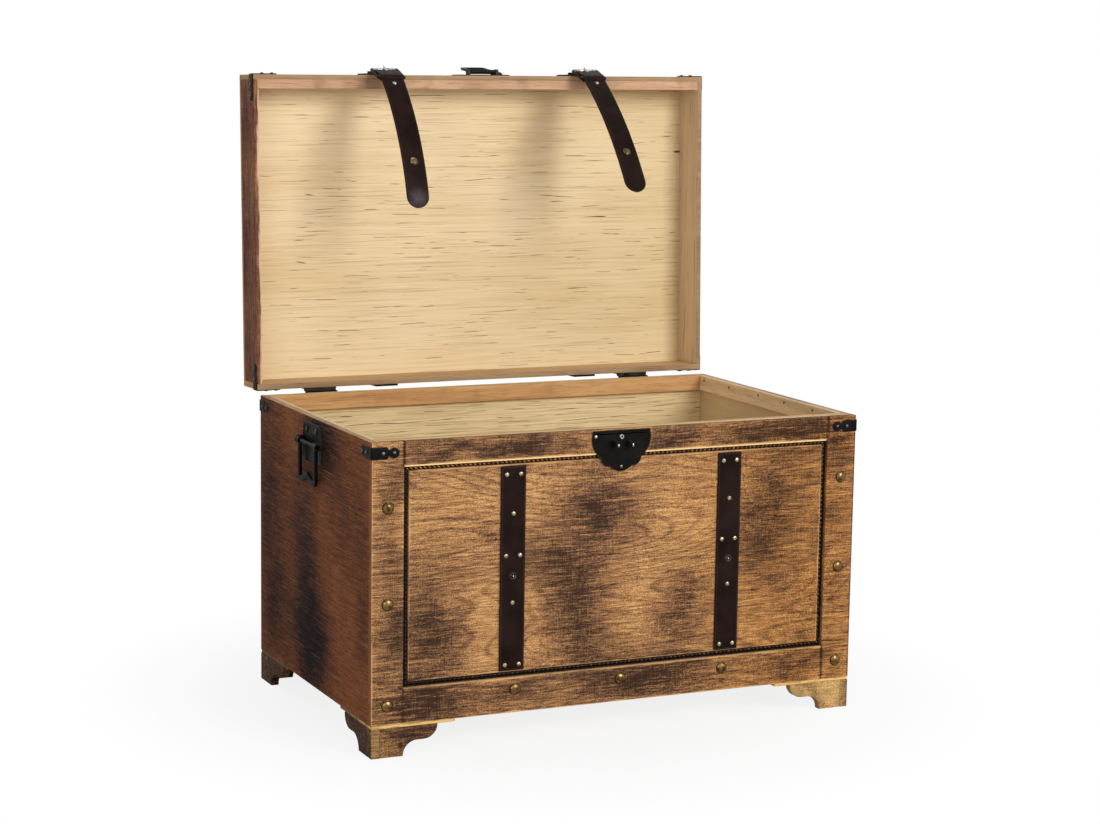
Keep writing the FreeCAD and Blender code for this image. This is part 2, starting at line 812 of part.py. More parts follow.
make_box()
make_rim_battens()
make_front()
make_feet()
make_front_bands()
make_dome_nails()
make_latch()
make_handles()
make_hinges()
make_lid()
make_lid_straps()
make_hasp()
make_tongues()
make_small_nails()

# The origin is the bottom centre of the whole trunk's box as it stands open
whole = group(list(parts.values())).optimalBoundingBox(False, False)
origin = Vector((whole.XMin + whole.XMax) / 2, (whole.YMin + whole.YMax) / 2, whole.ZMin)
os.makedirs("parts", exist_ok=True)
for name, shape in parts.items():
    shape.translate(origin.negative())
    shape.exportStep("parts/" + name + ".step")
print(len(parts), "pieces, origin", origin, "box", whole)
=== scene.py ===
import json
import math
from collections import namedtuple

import bmesh
import bpy
import numpy as np
from mathutils import Matrix


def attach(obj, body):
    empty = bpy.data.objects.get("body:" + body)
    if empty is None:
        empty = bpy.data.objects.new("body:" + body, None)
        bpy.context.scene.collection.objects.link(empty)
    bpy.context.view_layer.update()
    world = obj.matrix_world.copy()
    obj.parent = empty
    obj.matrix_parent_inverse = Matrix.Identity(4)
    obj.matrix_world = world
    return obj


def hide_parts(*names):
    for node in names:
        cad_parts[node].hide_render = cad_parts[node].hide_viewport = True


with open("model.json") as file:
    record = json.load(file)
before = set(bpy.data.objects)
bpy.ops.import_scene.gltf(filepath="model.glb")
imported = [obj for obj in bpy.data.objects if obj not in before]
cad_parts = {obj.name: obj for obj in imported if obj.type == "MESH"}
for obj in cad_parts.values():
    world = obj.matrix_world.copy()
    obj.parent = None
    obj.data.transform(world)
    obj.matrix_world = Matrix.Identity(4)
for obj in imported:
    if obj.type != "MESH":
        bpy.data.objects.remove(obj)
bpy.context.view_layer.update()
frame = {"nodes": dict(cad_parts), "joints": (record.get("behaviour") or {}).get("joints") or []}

# A lidded storage trunk with its lid standing open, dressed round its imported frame.
# Metres, in the frame's own axes: x across the front, y to the back, z up from the floor.
# Pieces of the lid are worked out as the shut lid holds them and then turned open.

# Points of a closed surface, its faces, each point's distance from the nearest edge, and which of
# its piece's materials it takes
Solid = namedtuple("Solid", "points faces edge finish", defaults=[0])
FAR = 1.0
millimetre = 0.001
sharp_angle = math.radians(38)
X, Y, Z = np.eye(3)

joints = {joint["name"]: joint for joint in frame["joints"]}
hinge_axis = np.array(joints["lid_hinge"]["pos_m"])
hasp_axis = np.array(joints["hasp_swing"]["pos_m"])
open_angle = math.radians(-joints["lid_hinge"]["range_deg"][0])


def cad_points(node):
    """Every point of a CAD node's mesh, as an array of rows x, y, z."""
    vertices = frame["nodes"][node].data.vertices
    flat = np.empty(3 * len(vertices), np.float32)
    vertices.foreach_get("co", flat)
    return flat.reshape(-1, 3).astype(float)


def turned(points, pivot, angle):
    """Points turned about the x direction through a pivot; a positive angle lifts the back."""
    cosine, sine = math.cos(angle), math.sin(angle)
    turn = np.array([[1, 0, 0], [0, cosine, -sine], [0, sine, cosine]])
    return pivot + (np.asarray(points) - pivot) @ turn.T


def opened(points):
    """Points of the shut lid, carried to where the open lid holds them."""
    return turned(points, hinge_axis, -open_angle)


def span(node, lid=False):
    """The lowest and highest corner of a CAD node; a lid piece is turned shut first."""
    points = cad_points(node)
    if lid:
        points = turned(points, hinge_axis, open_angle)
    return points.min(0), points.max(0)


# Places that the frame gives
stile_low, stile_high = span("stile_right")
half_width = stile_high[0]
frame_half = stile_low[0]
front_face = stile_low[1]
box_bottom = stile_low[2]
box_top = stile_high[2]
back_face = span("back_panel")[1][1]
chest_depth = back_face - front_face
middle_depth = (front_face + back_face) / 2
frame_bottom = span("bottom_rail")[1][2]
frame_top = span("top_rail")[0][2]
band_low, band_high = span("front_band_right")
strap_centre = (band_low[0] + band_high[0]) / 2
band_thick = band_high[1] - band_low[1]
rim = span("lid_front_wall", lid=True)[0][2]
lid_top = span("lid_panel", lid=True)[1][2]
latch_low, latch_high = span("latch_plate")
latch_centre = (latch_low[0] + latch_high[0]) / 2
latch_thick = latch_high[1] - latch_low[1]


# Shapes


def tube(rings, closed=False, edge=None):
    """A skin over a row of rings: each ring joined to the next by quads.

    An open row is closed by a flat face at each end, and a closed row joins its last ring to its
    first.
    """
    stations, around = rings.shape[:2]
    index = np.arange(stations * around).reshape(stations, around)
    following = np.roll(index, -1, axis=0)
    if not closed:
        index, following = index[:-1], following[:-1]
    corners = (index, np.roll(index, -1, 1), np.roll(following, -1, 1), following)
    faces = np.stack(corners, axis=-1).reshape(-1, 4).tolist()
    if not closed:
        faces += [index[0][::-1].tolist(), following[-1].tolist()]
    points = rings.reshape(-1, 3)
    if edge is None:
        edge = np.full(len(points), FAR)
    return Solid(points, faces, np.ravel(edge))


def section(first_rows, second_rows, turns=2):
    """A rectangle with round corners, as core places from -1 to 1 and unit normals.

    Each side keeps one normal. At the end of a side the core place stays put while the normal
    swings on by a quarter turn, in so many extra steps.
    """
    first, second = np.asarray(first_rows, float), np.asarray(second_rows, float)
    sides = (
        (first, np.full(len(first), -1.0), -90),
        (np.ones(len(second)), second, 0),
        (first[::-1], np.ones(len(first)), 90),
        (np.full(len(second), -1.0), second[::-1], 180),
    )
    swing = 90 * np.arange(1, turns + 1) / (turns + 1)
    core, normal = [], []
    for along, across, heading in sides:
        steady = np.stack([along, across], axis=1)
        core += [steady, np.repeat(steady[-1:], turns, axis=0)]
        angles = np.radians(np.concatenate([np.full(len(along), 0.0), swing]) + heading)
        normal.append(np.stack([np.cos(angles), np.sin(angles)], axis=1))
    return np.concatenate(core), np.concatenate(normal)


def rows(half, step, support=0.0025):
    """Places across a face from -1 to 1, about a step apart, with one row close to each edge."""
    count = max(1, round(2 * half / step))
    spaced = np.linspace(-1, 1, count + 1)
    if count < 2:
        return spaced
    near = 1 - support / half
    return np.concatenate([[-1, -near], spaced[1:-1], [near, 1]])


def board(low, high, axis, arris=0.0008, step=0.009):
    """A board with eased edges: a rounded rectangle carried along one axis.

    A point is its place on the core, which is the board less the arris on every side, plus the
    arris times a unit normal. At the ends the normal tips towards the axis.
    """
    low, high = np.asarray(low, float), np.asarray(high, float)
    centre, half = (low + high) / 2, (high - low) / 2 - arris
    first, second = (k for k in range(3) if k != axis)
    core, normal = section(rows(half[first], step), rows(half[second], step))
    tips = np.radians([80, 50, 25])
    places = rows(half[axis], step)
    along = np.concatenate([[-1, -1, -1], places, [1, 1, 1]])
    tilt = np.concatenate([-tips, np.zeros(len(places)), tips[::-1]])
    swell = arris * np.cos(tilt)[:, None]
    rings = np.empty((len(along), len(core), 3))
    rings[..., first] = centre[first] + core[:, 0] * half[first] + normal[:, 0] * swell
    rings[..., second] = centre[second] + core[:, 1] * half[second] + normal[:, 1] * swell
    reach = centre[axis] + along * half[axis] + arris * np.sin(tilt) / np.sin(tips[0])
    rings[..., axis] = reach[:, None]
    solid = tube(rings)
    gaps = np.sort(np.minimum(solid.points - low, high - solid.points), axis=1)
    return solid._replace(edge=gaps[:, 1])


def path_frame(path, across, closed):
    """The path as an array and its own normals: the fixed direction crossed with the tangent."""
    path = np.asarray(path, float)
    if closed:
        tangent = np.roll(path, -1, 0) - np.roll(path, 1, 0)
    else:
        tangent = np.gradient(path, axis=0)
    tangent /= np.linalg.norm(tangent, axis=1)[:, None]
    return path, np.cross(across, tangent)


def swept(path, across, half_across, half_thick, rounding, closed=False, cross_rows=(-1, 0, 1)):
    """A rounded flat section carried along a flat path.

    The section's width lies along one fixed direction and its thickness along the path's own
    normal. Both half sizes may change along the path. A point's edge value is its distance to the
    nearest corner of the section, along the face that it lies on.
    """
    path, outward = path_frame(path, across, closed)
    wide = np.broadcast_to(half_across, len(path))[:, None]
    thick = np.broadcast_to(half_thick, len(path))[:, None]
    ease = np.minimum(np.minimum(rounding, 0.95 * wide), 0.95 * thick)
    core, normal = section(cross_rows, (-1, 0, 1))
    side = core[:, 0] * (wide - ease) + normal[:, 0] * ease
    lift = core[:, 1] * (thick - ease) + normal[:, 1] * ease
    rings = path[:, None] + side[..., None] * across + lift[..., None] * outward[:, None]
    return tube(rings, closed, edge=np.maximum(wide - np.abs(side), thick - np.abs(lift)))


def round_bar(path, radius, across, closed=False, around=14):
    """A round bar along a flat path: a circle in the plane of the fixed direction and the normal."""
    path, outward = path_frame(path, across, closed)
    radius = np.broadcast_to(radius, len(path))[:, None, None]
    angle = np.linspace(0, 2 * np.pi, around, endpoint=False)[:, None]
    rings = path[:, None] + radius * (np.cos(angle) * across + np.sin(angle) * outward[:, None])
    return tube(rings, closed)


def straight_bar(start, direction, places, radii, across, around=14):
    """A straight round bar: a radius at each of its places from a start along a direction."""
    path = start + np.asarray(places)[:, None] * direction
    return round_bar(path, radii, across, around=around)


def lathed(seat, normal, profile, around=20):
    """A turned head on a seat: each profile row gives a radius and a height along the normal.

    A point's edge value is its distance inside the head's rim.
    """
    normal = np.asarray(normal, float)
    first = np.cross(normal, Z if abs(normal[2]) < 0.7 else X)
    first /= np.linalg.norm(first)
    second = np.cross(normal, first)
    angle = np.linspace(0, 2 * np.pi, around, endpoint=False)[:, None]
    circle = np.cos(angle) * first + np.sin(angle) * second
    profile = np.asarray(profile, float)
    rings = profile[:, 0, None, None] * circle + profile[:, 1, None, None] * normal
    inside = profile[:, 0].max() - profile[:, 0]
    return tube(np.asarray(seat) + rings, edge=np.repeat(inside, around))


def dome_profile(radius, height, flange=0.15):
    """A nail head's profile: a low upright flange, then a quarter of an ellipse to the crown."""
    angle = np.radians(np.linspace(0, 86, 8))
    lip = flange * height
    crown = np.stack([radius * 0.94 * np.cos(angle), lip + (height - lip) * np.sin(angle)], 1)
    return np.concatenate([[[radius * 0.96, 0], [radius, lip * 0.6]], crown])


def inset(outline, distance):
    """A closed outline drawn in: each corner moves along the sum of its two sides' normals."""
    run = np.roll(outline, -1, 0) - outline
    normal = np.stack([run[:, 1], -run[:, 0]], 1) / np.linalg.norm(run, axis=1)[:, None]
    before = np.roll(normal, 1, 0)
    mitre = (normal + before) / (1 + (normal * before).sum(1))[:, None]
    return outline - distance * mitre


def plate(outline, origin, first, second, profile):
    """A plate with worked edges: an outline, drawn in and raised row by row.

    The outline is put anticlockwise first, where the area that its corners enclose is negative.
    """
    outline = np.asarray(outline, float)
    following = np.roll(outline, -1, 0)
    if (outline[:, 0] * following[:, 1] - outline[:, 1] * following[:, 0]).sum() < 0:
        outline = outline[::-1]
    origin, first, second = (np.asarray(v, float) for v in (origin, first, second))
    raised = np.cross(first, second)
    rings = []
    for drawn_in, height in profile:
        ring = inset(outline, drawn_in)
        rings.append(origin + ring[:, :1] * first + ring[:, 1:] * second + height * raised)
    edge = [np.full(len(outline), drawn_in) for drawn_in, height in profile]
    return tube(np.array(rings), edge=edge)


def eased_rims(thick, ease):
    """A plate's profile: upright sides, drawn in by the easing at both faces."""
    return ((ease, 0), (0, ease), (0, thick - ease), (ease, thick))


def arc(centre, radius, start, end, count=9):
    """Places on a circle between two angles in degrees."""
    angle = np.radians(np.linspace(start, end, count))
    return np.asarray(centre) + radius * np.stack([np.cos(angle), np.sin(angle)], 1)


def rounded_loop(half_first, half_second, radius, count=5):
    """A closed rectangle with round corners, about its own middle."""
    corners = ((1, -1, -90), (1, 1, 0), (-1, 1, 90), (-1, -1, 180))
    runs = []
    for first, second, start in corners:
        middle = (first * (half_first - radius), second * (half_second - radius))
        runs.append(arc(middle, radius, start, start + 90, count))
    return np.concatenate(runs)


def side_twin(solid):
    """The same solid on the other side of the trunk."""
    return solid._replace(points=solid.points * (-1, 1, 1))


def end_twin(solid):
    """The same solid at the other end of the trunk's depth."""
    points = solid.points * (1, -1, 1) + (0, 2 * middle_depth, 0)
    return solid._replace(points=points)


def four_corners(solids):
    """Solids of the front left corner, repeated at all four corners."""
    front = solids + [side_twin(s) for s in solids]
    return front + [end_twin(s) for s in front]


def add_piece(name, body, nodes, solids, materials, pick=None, burn_and_painted_light=None, lid=False):
    """Joins solids into one finished piece that rides on a body and stands for CAD nodes.

    Each point carries its distance from an edge and its burn value, which is how burnt the wood is,
    the painted shadow on the lid's ply and the painted sheen on a tongue's tip. A face takes its
    solid's material, or the one that pick gives for the face's middle.
    """
    starts = np.cumsum([0] + [len(s.points) for s in solids])
    points = np.concatenate([s.points for s in solids])
    faces = [[start + k for k in face] for s, start in zip(solids, starts) for face in s.faces]
    mesh = bpy.data.meshes.new(name)
    mesh.from_pydata((opened(points) if lid else points).tolist(), [], faces)
    values = {"edge": np.concatenate([s.edge for s in solids])}
    if burn_and_painted_light is not None:
        values["burn_and_painted_light"] = burn_and_painted_light(points)
    for key, value in values.items():
        attribute = mesh.attributes.new(key, "FLOAT", "POINT")
        attribute.data.foreach_set("value", value.astype(np.float32))
    for material in materials:
        mesh.materials.append(material)
    if pick is None:
        chosen = np.repeat([s.finish for s in solids], [len(s.faces) for s in solids])
    else:
        chosen = pick(np.array([points[face].mean(0) for face in faces]))
    mesh.polygons.foreach_set("material_index", chosen.astype(np.int32))
    shell = bmesh.new()
    shell.from_mesh(mesh)
    bmesh.ops.recalc_face_normals(shell, faces=shell.faces)
    shell.to_mesh(mesh)
    shell.free()
    mesh.shade_smooth()
    mesh.set_sharp_from_angle(angle=sharp_angle)
    piece = bpy.data.objects.new(name, mesh)
    bpy.context.scene.collection.objects.link(piece)
    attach(piece, body)
    if nodes:
        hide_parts(*nodes)
    return piece


# Finishes

bump_strength = 0.6


def tone(red, green, blue):
    """A colour as it looks on a screen, from 0 to 255, in the linear light that nodes use."""
    seen = np.array([red, green, blue]) / 255
    linear = np.where(seen <= 0.04045, seen / 12.92, ((seen + 0.055) / 1.055) ** 2.4)
    return (*linear, 1.0)


class Finish:
    """A material in the making: each method adds a node and gives back its output."""

    def __init__(self, name):
        self.material = bpy.data.materials.new(name)
        self.material.use_nodes = True
        self.tree = self.material.node_tree
        self.tree.nodes.clear()
        self.place = self.add("TexCoord").outputs["Object"]

    def add(self, kind, **settings):
        """A node of a kind, with its settings."""
        node = self.tree.nodes.new("ShaderNode" + kind)
        for key, value in settings.items():
            setattr(node, key, value)
        return node

    def feed(self, socket, value):
        """A link where the value is an output, and otherwise a constant."""
        if isinstance(value, bpy.types.NodeSocket):
            self.tree.links.new(value, socket)
        else:
            socket.default_value = value

    def attribute(self, name):
        """A value that the piece's points carry."""
        return self.add("Attribute", attribute_name=name).outputs["Fac"]

    def math(self, operation, *values):
        """A sum, product or other operation on numbers."""
        node = self.add("Math", operation=operation)
        for socket, value in zip(node.inputs, values):
            self.feed(socket, value)
        return node.outputs[0]

    def blend(self, factor, first, second):
        """The first colour at factor 0 and the second at 1."""
        node = self.add("Mix", data_type="RGBA")
        for index, value in ((0, factor), (6, first), (7, second)):
            self.feed(node.inputs[index], value)
        return node.outputs[2]

    def noise(self, scales, detail=2.0, roughness=0.5):
        """Soft random values about 0.5, with so many cycles a metre along each axis."""
        mapping = self.add("Mapping")
        self.feed(mapping.inputs["Vector"], self.place)
        mapping.inputs["Scale"].default_value = scales
        node = self.add("TexNoise")
        self.feed(node.inputs["Vector"], mapping.outputs[0])
        node.inputs["Scale"].default_value = 1.0
        node.inputs["Detail"].default_value = detail
        node.inputs["Roughness"].default_value = roughness
        return node.outputs["Fac"]

    def wander(self, scale, amount):
        """Shifts the place that later patterns read by a soft random distance."""
        node = self.add("TexNoise")
        self.feed(node.inputs["Vector"], self.place)
        node.inputs["Scale"].default_value = scale
        node.inputs["Detail"].default_value = 1.0
        middle = self.add("VectorMath", operation="SUBTRACT")
        self.feed(middle.inputs[0], node.outputs["Color"])
        middle.inputs[1].default_value = (0.5, 0.5, 0.5)
        shift = self.add("VectorMath", operation="MULTIPLY_ADD")
        self.feed(shift.inputs[0], middle.outputs[0])
        shift.inputs[1].default_value = (amount, amount, amount)
        self.feed(shift.inputs[2], self.place)
        self.place = shift.outputs[0]

    def rise(self, value, low, high, top=1.0):
        """0 below low, the top value above high and a smooth rise between."""
        return self.ramp(value, low, high, 0.0, top)

    def fall(self, value, low, high, top=1.0):
        """The top value below low, 0 above high and a smooth fall between."""
        return self.ramp(value, low, high, top, 0.0)

    def ramp(self, value, low, high, start, end):
        """A smooth change from start, at low, to end, at high."""
        node = self.add("MapRange", interpolation_type="SMOOTHSTEP")
        for index, number in enumerate((value, low, high, start, end)):
            self.feed(node.inputs[index], number)
        return node.outputs[0]

    def total(self, start, *terms):
        """A start value plus each term's weight times its distance from its middle."""
        for value, weight, middle in terms:
            start = self.math("MULTIPLY_ADD", self.math("SUBTRACT", value, middle), weight, start)
        return start

    def scale(self, value, shades):
        """A colour read off a row of shades, each at its own place from 0 to 1."""
        ramp = self.add("ValToRGB")
        stops = ramp.color_ramp.elements
        stops[0].position, stops[0].color = shades[0]
        stops[1].position, stops[1].color = shades[-1]
        for position, colour in shades[1:-1]:
            stops.new(position).color = colour
        self.feed(ramp.inputs[0], value)
        return ramp.outputs[0]

    def tint(self, colour, factor, tinted):
        """A colour multiplied, by so much, with another."""
        node = self.add("Mix", data_type="RGBA", blend_type="MULTIPLY")
        for index, value in ((0, factor), (6, colour), (7, tinted)):
            self.feed(node.inputs[index], value)
        return node.outputs[2]

    def surface(self, colour, roughness, metallic=0.0, height=None, depth=0.0005, level=0.5):
        """The shader itself, with a bump where a height is given."""
        shader = self.add("BsdfPrincipled")
        self.feed(shader.inputs["Base Color"], colour)
        self.feed(shader.inputs["Roughness"], roughness)
        shader.inputs["Metallic"].default_value = metallic
        shader.inputs["Specular IOR Level"].default_value = level
        if height is not None:
            bump = self.add("Bump")
            bump.inputs["Strength"].default_value = bump_strength
            bump.inputs["Distance"].default_value = depth
            self.feed(bump.inputs["Height"], height)
            self.feed(shader.inputs["Normal"], bump.outputs[0])
        output = self.add("OutputMaterial")
        self.feed(output.inputs["Surface"], shader.outputs[0])
        return self.material


def even(cycles):
    """The same cycles a metre along every axis."""
    return (cycles, cycles, cycles)


def along_grain(axis, length, breadth):
    """Cycles a metre for a pattern drawn out along one axis."""
    scales = [breadth] * 3
    scales[axis] = length
    return scales


# Tints that a colour is multiplied with; the two ply tints paint shade and shadows on the lid's ply
warm_stain = (1.0, 0.88, 0.62, 1)
ply_painted_shade = (0.8, 0.79, 0.71, 1)
ply_painted_shadow = (0.45, 0.38, 0.32, 1)


def stained_wood(
    name, axis, shades, worn, base, char=0.6, wear=0.65, scratched=0.0, grain=0.8, rings=0.17,
    warm=0.0, level=0.1,
):
    """Open-grained wood under stain, whose depth of stain runs through a row of browns.

    The depth is a base, plus burnt patches frayed along the grain, plus fibres of many sizes, short
    dark pores, growth rings, specks and soft clouds. Brush marks cross the grain in the patches.
    Edges are worn pale. A warm stain can deepen towards the right.
    """
    finish = Finish(name)
    across = finish.add("SeparateXYZ")
    finish.feed(across.inputs[0], finish.place)
    finish.wander(5.0, 0.005)
    field = finish.noise(along_grain(axis, 1.6, 8.0), detail=1.0)
    ring_crowding = 230.0
    ring_wave = finish.math("SINE", finish.math("MULTIPLY", field, ring_crowding))
    ring_line = finish.rise(ring_wave, 0.4, 1.0)
    fibres = finish.noise(along_grain(axis, 22.0, 530.0), detail=2.0, roughness=0.8)
    dashes = finish.noise(along_grain(axis, 95.0, 700.0), detail=1.0)
    pores = finish.rise(dashes, 0.54, 0.62)
    specks = finish.noise(even(640.0), detail=1.0)
    mottle = finish.noise(along_grain(axis, 32.0, 70.0), detail=3.0, roughness=0.65)
    brush = finish.noise(along_grain(axis, 620.0, 36.0), detail=1.0)
    ragged = finish.noise(along_grain(axis, 22.0, 270.0), detail=3.0, roughness=0.75)
    clouds = finish.noise(even(16.0), detail=4.0, roughness=0.6)
    burn_and_painted_light = finish.attribute("burn_and_painted_light")
    open_burn = finish.math("ADD", burn_and_painted_light, 0.12)
    late_wood = finish.math("MULTIPLY", ring_line, finish.fall(burn_and_painted_light, 0.1, 0.6))

    def inside_burn(pattern):
        """A pattern about 0, strong in the burnt patches and faint outside them."""
        return finish.math("MULTIPLY", finish.math("SUBTRACT", pattern, 0.5), open_burn)

    depth = finish.total(
        base, (burn_and_painted_light, char, 0.0), (fibres, 1.45 * grain, 0.5), (pores, 0.22 * grain, 0.3),
        (specks, 1.2 * grain, 0.5), (late_wood, rings, 0.16), (clouds, 0.4, 0.5),
        (inside_burn(ragged), 1.9 * grain, 0.0), (inside_burn(mottle), 1.0 * grain, 0.0),
        (inside_burn(brush), 0.8 * grain, 0.0),
    )
    colour = finish.scale(depth, shades)
    if warm:
        to_right = finish.rise(across.outputs[0], 0.02, 0.3, warm)
        colour = finish.tint(colour, to_right, warm_stain)
    if scratched:
        scratches = finish.noise(along_grain(axis, 14.0, 420.0), detail=1.0)
        colour = finish.blend(finish.rise(scratches, 0.64, 0.74, scratched), colour, worn)
    frayed = finish.total(finish.attribute("edge"), (fibres, 0.004, 0.5), (clouds, 0.006, 0.5))
    colour = finish.blend(finish.fall(frayed, 0.0003, 0.0024, wear), colour, worn)
    roughness = finish.ramp(fibres, 0.35, 0.65, 0.5, 0.64)
    height = finish.total(0.0, (fibres, -1.0, 0.0), (pores, -0.5, 0.0))
    return finish.surface(colour, roughness, height=height, depth=0.0004, level=level)


def pale_ply(name, axis, light, warm, streak, streaks=1.0, crowding=0.0, painted_shade=0.0, with_painted_shadows=False):
    """Pale veneer: faint fibres, thin dark streaks along the grain and finer hairs between them.

    A streak is the middle of a drifting band across the grain, broken off by a noise; crowding brings
    more of them. A painted shade can deepen it towards the right, and painted shadows can darken it in
    places.
    """
    finish = Finish(name)
    place = finish.add("SeparateXYZ")
    finish.feed(place.inputs[0], finish.place)
    first, second = [place.outputs[side] for side in range(3) if side != axis]
    finish.wander(3.0, 0.003)
    fibres = finish.noise(along_grain(axis, 5.0, 300.0), detail=3.0, roughness=0.75)
    clouds = finish.noise(along_grain(axis, 3.0, 7.0), detail=2.0)
    body = finish.total(0.5, (clouds, 1.1, 0.5), (fibres, 1.0, 0.5))
    colour = finish.blend(finish.rise(body, 0.25, 0.8), light, warm)
    # Painted shade: the ply is darkened towards the right, as if in shade there.
    if painted_shade:
        to_right = finish.rise(place.outputs[0], -0.1, 0.33, painted_shade)
        colour = finish.tint(colour, to_right, ply_painted_shade)
    hairs = finish.noise(along_grain(axis, 9.0, 620.0), detail=1.0)
    thin_hairs = finish.rise(hairs, 0.61 - crowding, 0.69 - crowding, 0.24 * streaks)
    colour = finish.blend(thin_hairs, colour, streak)
    drift = finish.noise(along_grain(axis, 4.0, 40.0), detail=2.0)
    bands_a_metre = 140.0
    bands = finish.total(
        0.0, (first, bands_a_metre, 0.0), (second, bands_a_metre, 0.0), (drift, 3.5, 0.5)
    )
    off_middle = finish.math("ABSOLUTE", finish.math("SUBTRACT", finish.math("FRACT", bands), 0.5))
    gaps = finish.noise(along_grain(axis, 19.0, bands_a_metre), detail=2.0)
    broken = finish.rise(gaps, 0.56 - crowding, 0.66 - crowding, streaks)
    lines = finish.math("MULTIPLY", finish.fall(off_middle, 0.030, 0.065), broken)
    colour = finish.blend(lines, colour, streak)
    # Painted shadows: the burn value darkens the ply where the straps' shadows fall.
    if with_painted_shadows:
        colour = finish.tint(colour, finish.attribute("burn_and_painted_light"), ply_painted_shadow)
    height = finish.math("SUBTRACT", fibres, lines)
    return finish.surface(colour, 0.5, height=height, depth=0.0002, level=0.15)


def plain_wood(name, axis, light, warm, dark, smudge=0.3):
    """Bare softwood: broad soft figure, fine fibres, a few smudges and edges rubbed pale."""
    finish = Finish(name)
    finish.wander(9.0, 0.012)
    figure = finish.noise(along_grain(axis, 4.0, 60.0), detail=3.0, roughness=0.6)
    fibres = finish.noise(along_grain(axis, 20.0, 600.0), detail=3.0, roughness=0.6)
    colour = finish.blend(finish.rise(figure, 0.35, 0.68), light, warm)
    colour = finish.blend(finish.rise(fibres, 0.5, 0.72, 0.55), colour, dark)
    stains = finish.noise(even(14.0), detail=3.0, roughness=0.65)
    colour = finish.blend(finish.rise(stains, 0.52, 0.72, smudge), colour, dark)
    smear = finish.math("MULTIPLY", finish.attribute("burn_and_painted_light"), finish.rise(fibres, 0.3, 0.6))
    colour = finish.blend(smear, colour, dark)
    edge = finish.attribute("edge")
    colour = finish.blend(finish.fall(edge, 0.0003, 0.0016, 0.3), colour, light)
    return finish.surface(colour, 0.55, height=fibres, depth=0.0003, level=0.15)


def gilded_bead():
    """A dark ribbed bead whose high places keep some gold; its edge value says how much."""
    finish = Finish("dark_gilt_bead")
    gilt = finish.attribute("edge")
    grime = finish.noise(even(150.0), detail=3.0)
    rubbed = finish.total(gilt, (grime, 0.7, 0.5))
    shades = (
        (0.2, tone(26, 18, 14)), (0.55, tone(128, 84, 50)), (0.85, tone(214, 166, 100)),
        (1.0, tone(244, 206, 142)),
    )
    colour = finish.scale(rubbed, shades)
    return finish.surface(colour, 0.42, height=grime, depth=0.0003, level=0.15)


def brown_leather():
    """Dark oiled leather: fine pebbling, faint sheen, a lighter line along each edge and a painted sheen
    where its burn value is high.
    """
    finish = Finish("dark_brown_leather")
    pebbles = finish.add("TexVoronoi")
    finish.feed(pebbles.inputs["Vector"], finish.place)
    pebbles.inputs["Scale"].default_value = 700.0
    clouds = finish.noise(even(25.0), detail=3.0)
    creases = finish.noise(even(240.0), detail=4.0, roughness=0.65)
    colour = finish.blend(finish.rise(clouds, 0.35, 0.7), tone(26, 16, 14), tone(39, 26, 22))
    edge = finish.attribute("edge")
    inner = finish.rise(edge, 0.0008, 0.0016)
    line = finish.math("MULTIPLY", inner, finish.fall(edge, 0.0018, 0.003))
    colour = finish.blend(finish.math("MULTIPLY", line, 0.35), colour, tone(70, 54, 54))
    colour = finish.blend(finish.fall(edge, 0.0002, 0.001, 0.4), colour, tone(62, 42, 34))
    # Painted sheen: the burn value turns the leather pale grey, as the highlight on a tongue's tip.
    rubbed = finish.math("MULTIPLY", finish.attribute("burn_and_painted_light"), finish.ramp(creases, 0.3, 0.7, 0.75, 0.45))
    colour = finish.blend(rubbed, colour, tone(98, 88, 94))
    roughness = finish.ramp(creases, 0.3, 0.7, 0.34, 0.5)
    height = finish.total(creases, (line, -0.5, 0.0), (pebbles.outputs["Distance"], 0.5, 0.0))
    return finish.surface(colour, roughness, height=height, depth=0.0003, level=0.035)


def black_iron():
    """Black lacquer on stamped iron: slight unevenness, brown-grey rub along edges, fine specks."""
    finish = Finish("black_lacquered_iron")
    grain = finish.noise(even(420.0), detail=3.0)
    clouds = finish.noise(even(70.0), detail=3.0)
    colour = finish.blend(finish.rise(clouds, 0.4, 0.7), tone(11, 10, 9), tone(21, 18, 17))
    colour = finish.blend(finish.rise(grain, 0.64, 0.74, 0.4), colour, tone(76, 70, 62))
    rubbed = finish.total(finish.attribute("edge"), (clouds, 0.003, 0.5))
    colour = finish.blend(finish.fall(rubbed, 0.0001, 0.0009, 0.45), colour, tone(78, 68, 56))
    roughness = finish.ramp(grain, 0.3, 0.7, 0.26, 0.44)
    return finish.surface(colour, roughness, height=grain, depth=0.00025, level=0.07)


def aged_metal(name, light, dark, rim):
    """Rubbed metal heads: brown patina in patches, and a dark ring at the rim that is painted shade with
    some dirt.
    """
    finish = Finish(name)
    patina = finish.noise(even(180.0), detail=3.0)
    colour = finish.blend(finish.rise(patina, 0.4, 0.68), light, dark)
    # Painted shade with some dirt: heads darken towards the rim, where a dome turns from the light.
    rim_dirt_and_painted_shade = finish.total(finish.attribute("edge"), (patina, 0.001, 0.5))
    colour = finish.blend(finish.fall(rim_dirt_and_painted_shade, 0.0002, 0.0011, 0.85), colour, rim)
    roughness = finish.ramp(patina, 0.3, 0.7, 0.22, 0.4)
    return finish.surface(colour, roughness, metallic=1.0, height=patina, depth=0.0001)


def gold_paint():
    """The pale gold plate between box and feet, rubbed through to wood in places."""
    finish = Finish("pale_gold_trim")
    rub = finish.noise((40.0, 40.0, 220.0), detail=3.0)
    colour = finish.blend(finish.rise(rub, 0.48, 0.7), tone(226, 186, 112), tone(172, 126, 68))
    colour = finish.blend(finish.attribute("burn_and_painted_light"), colour, tone(70, 50, 36))
    return finish.surface(colour, 0.45, height=rub, depth=0.0002, level=0.2)


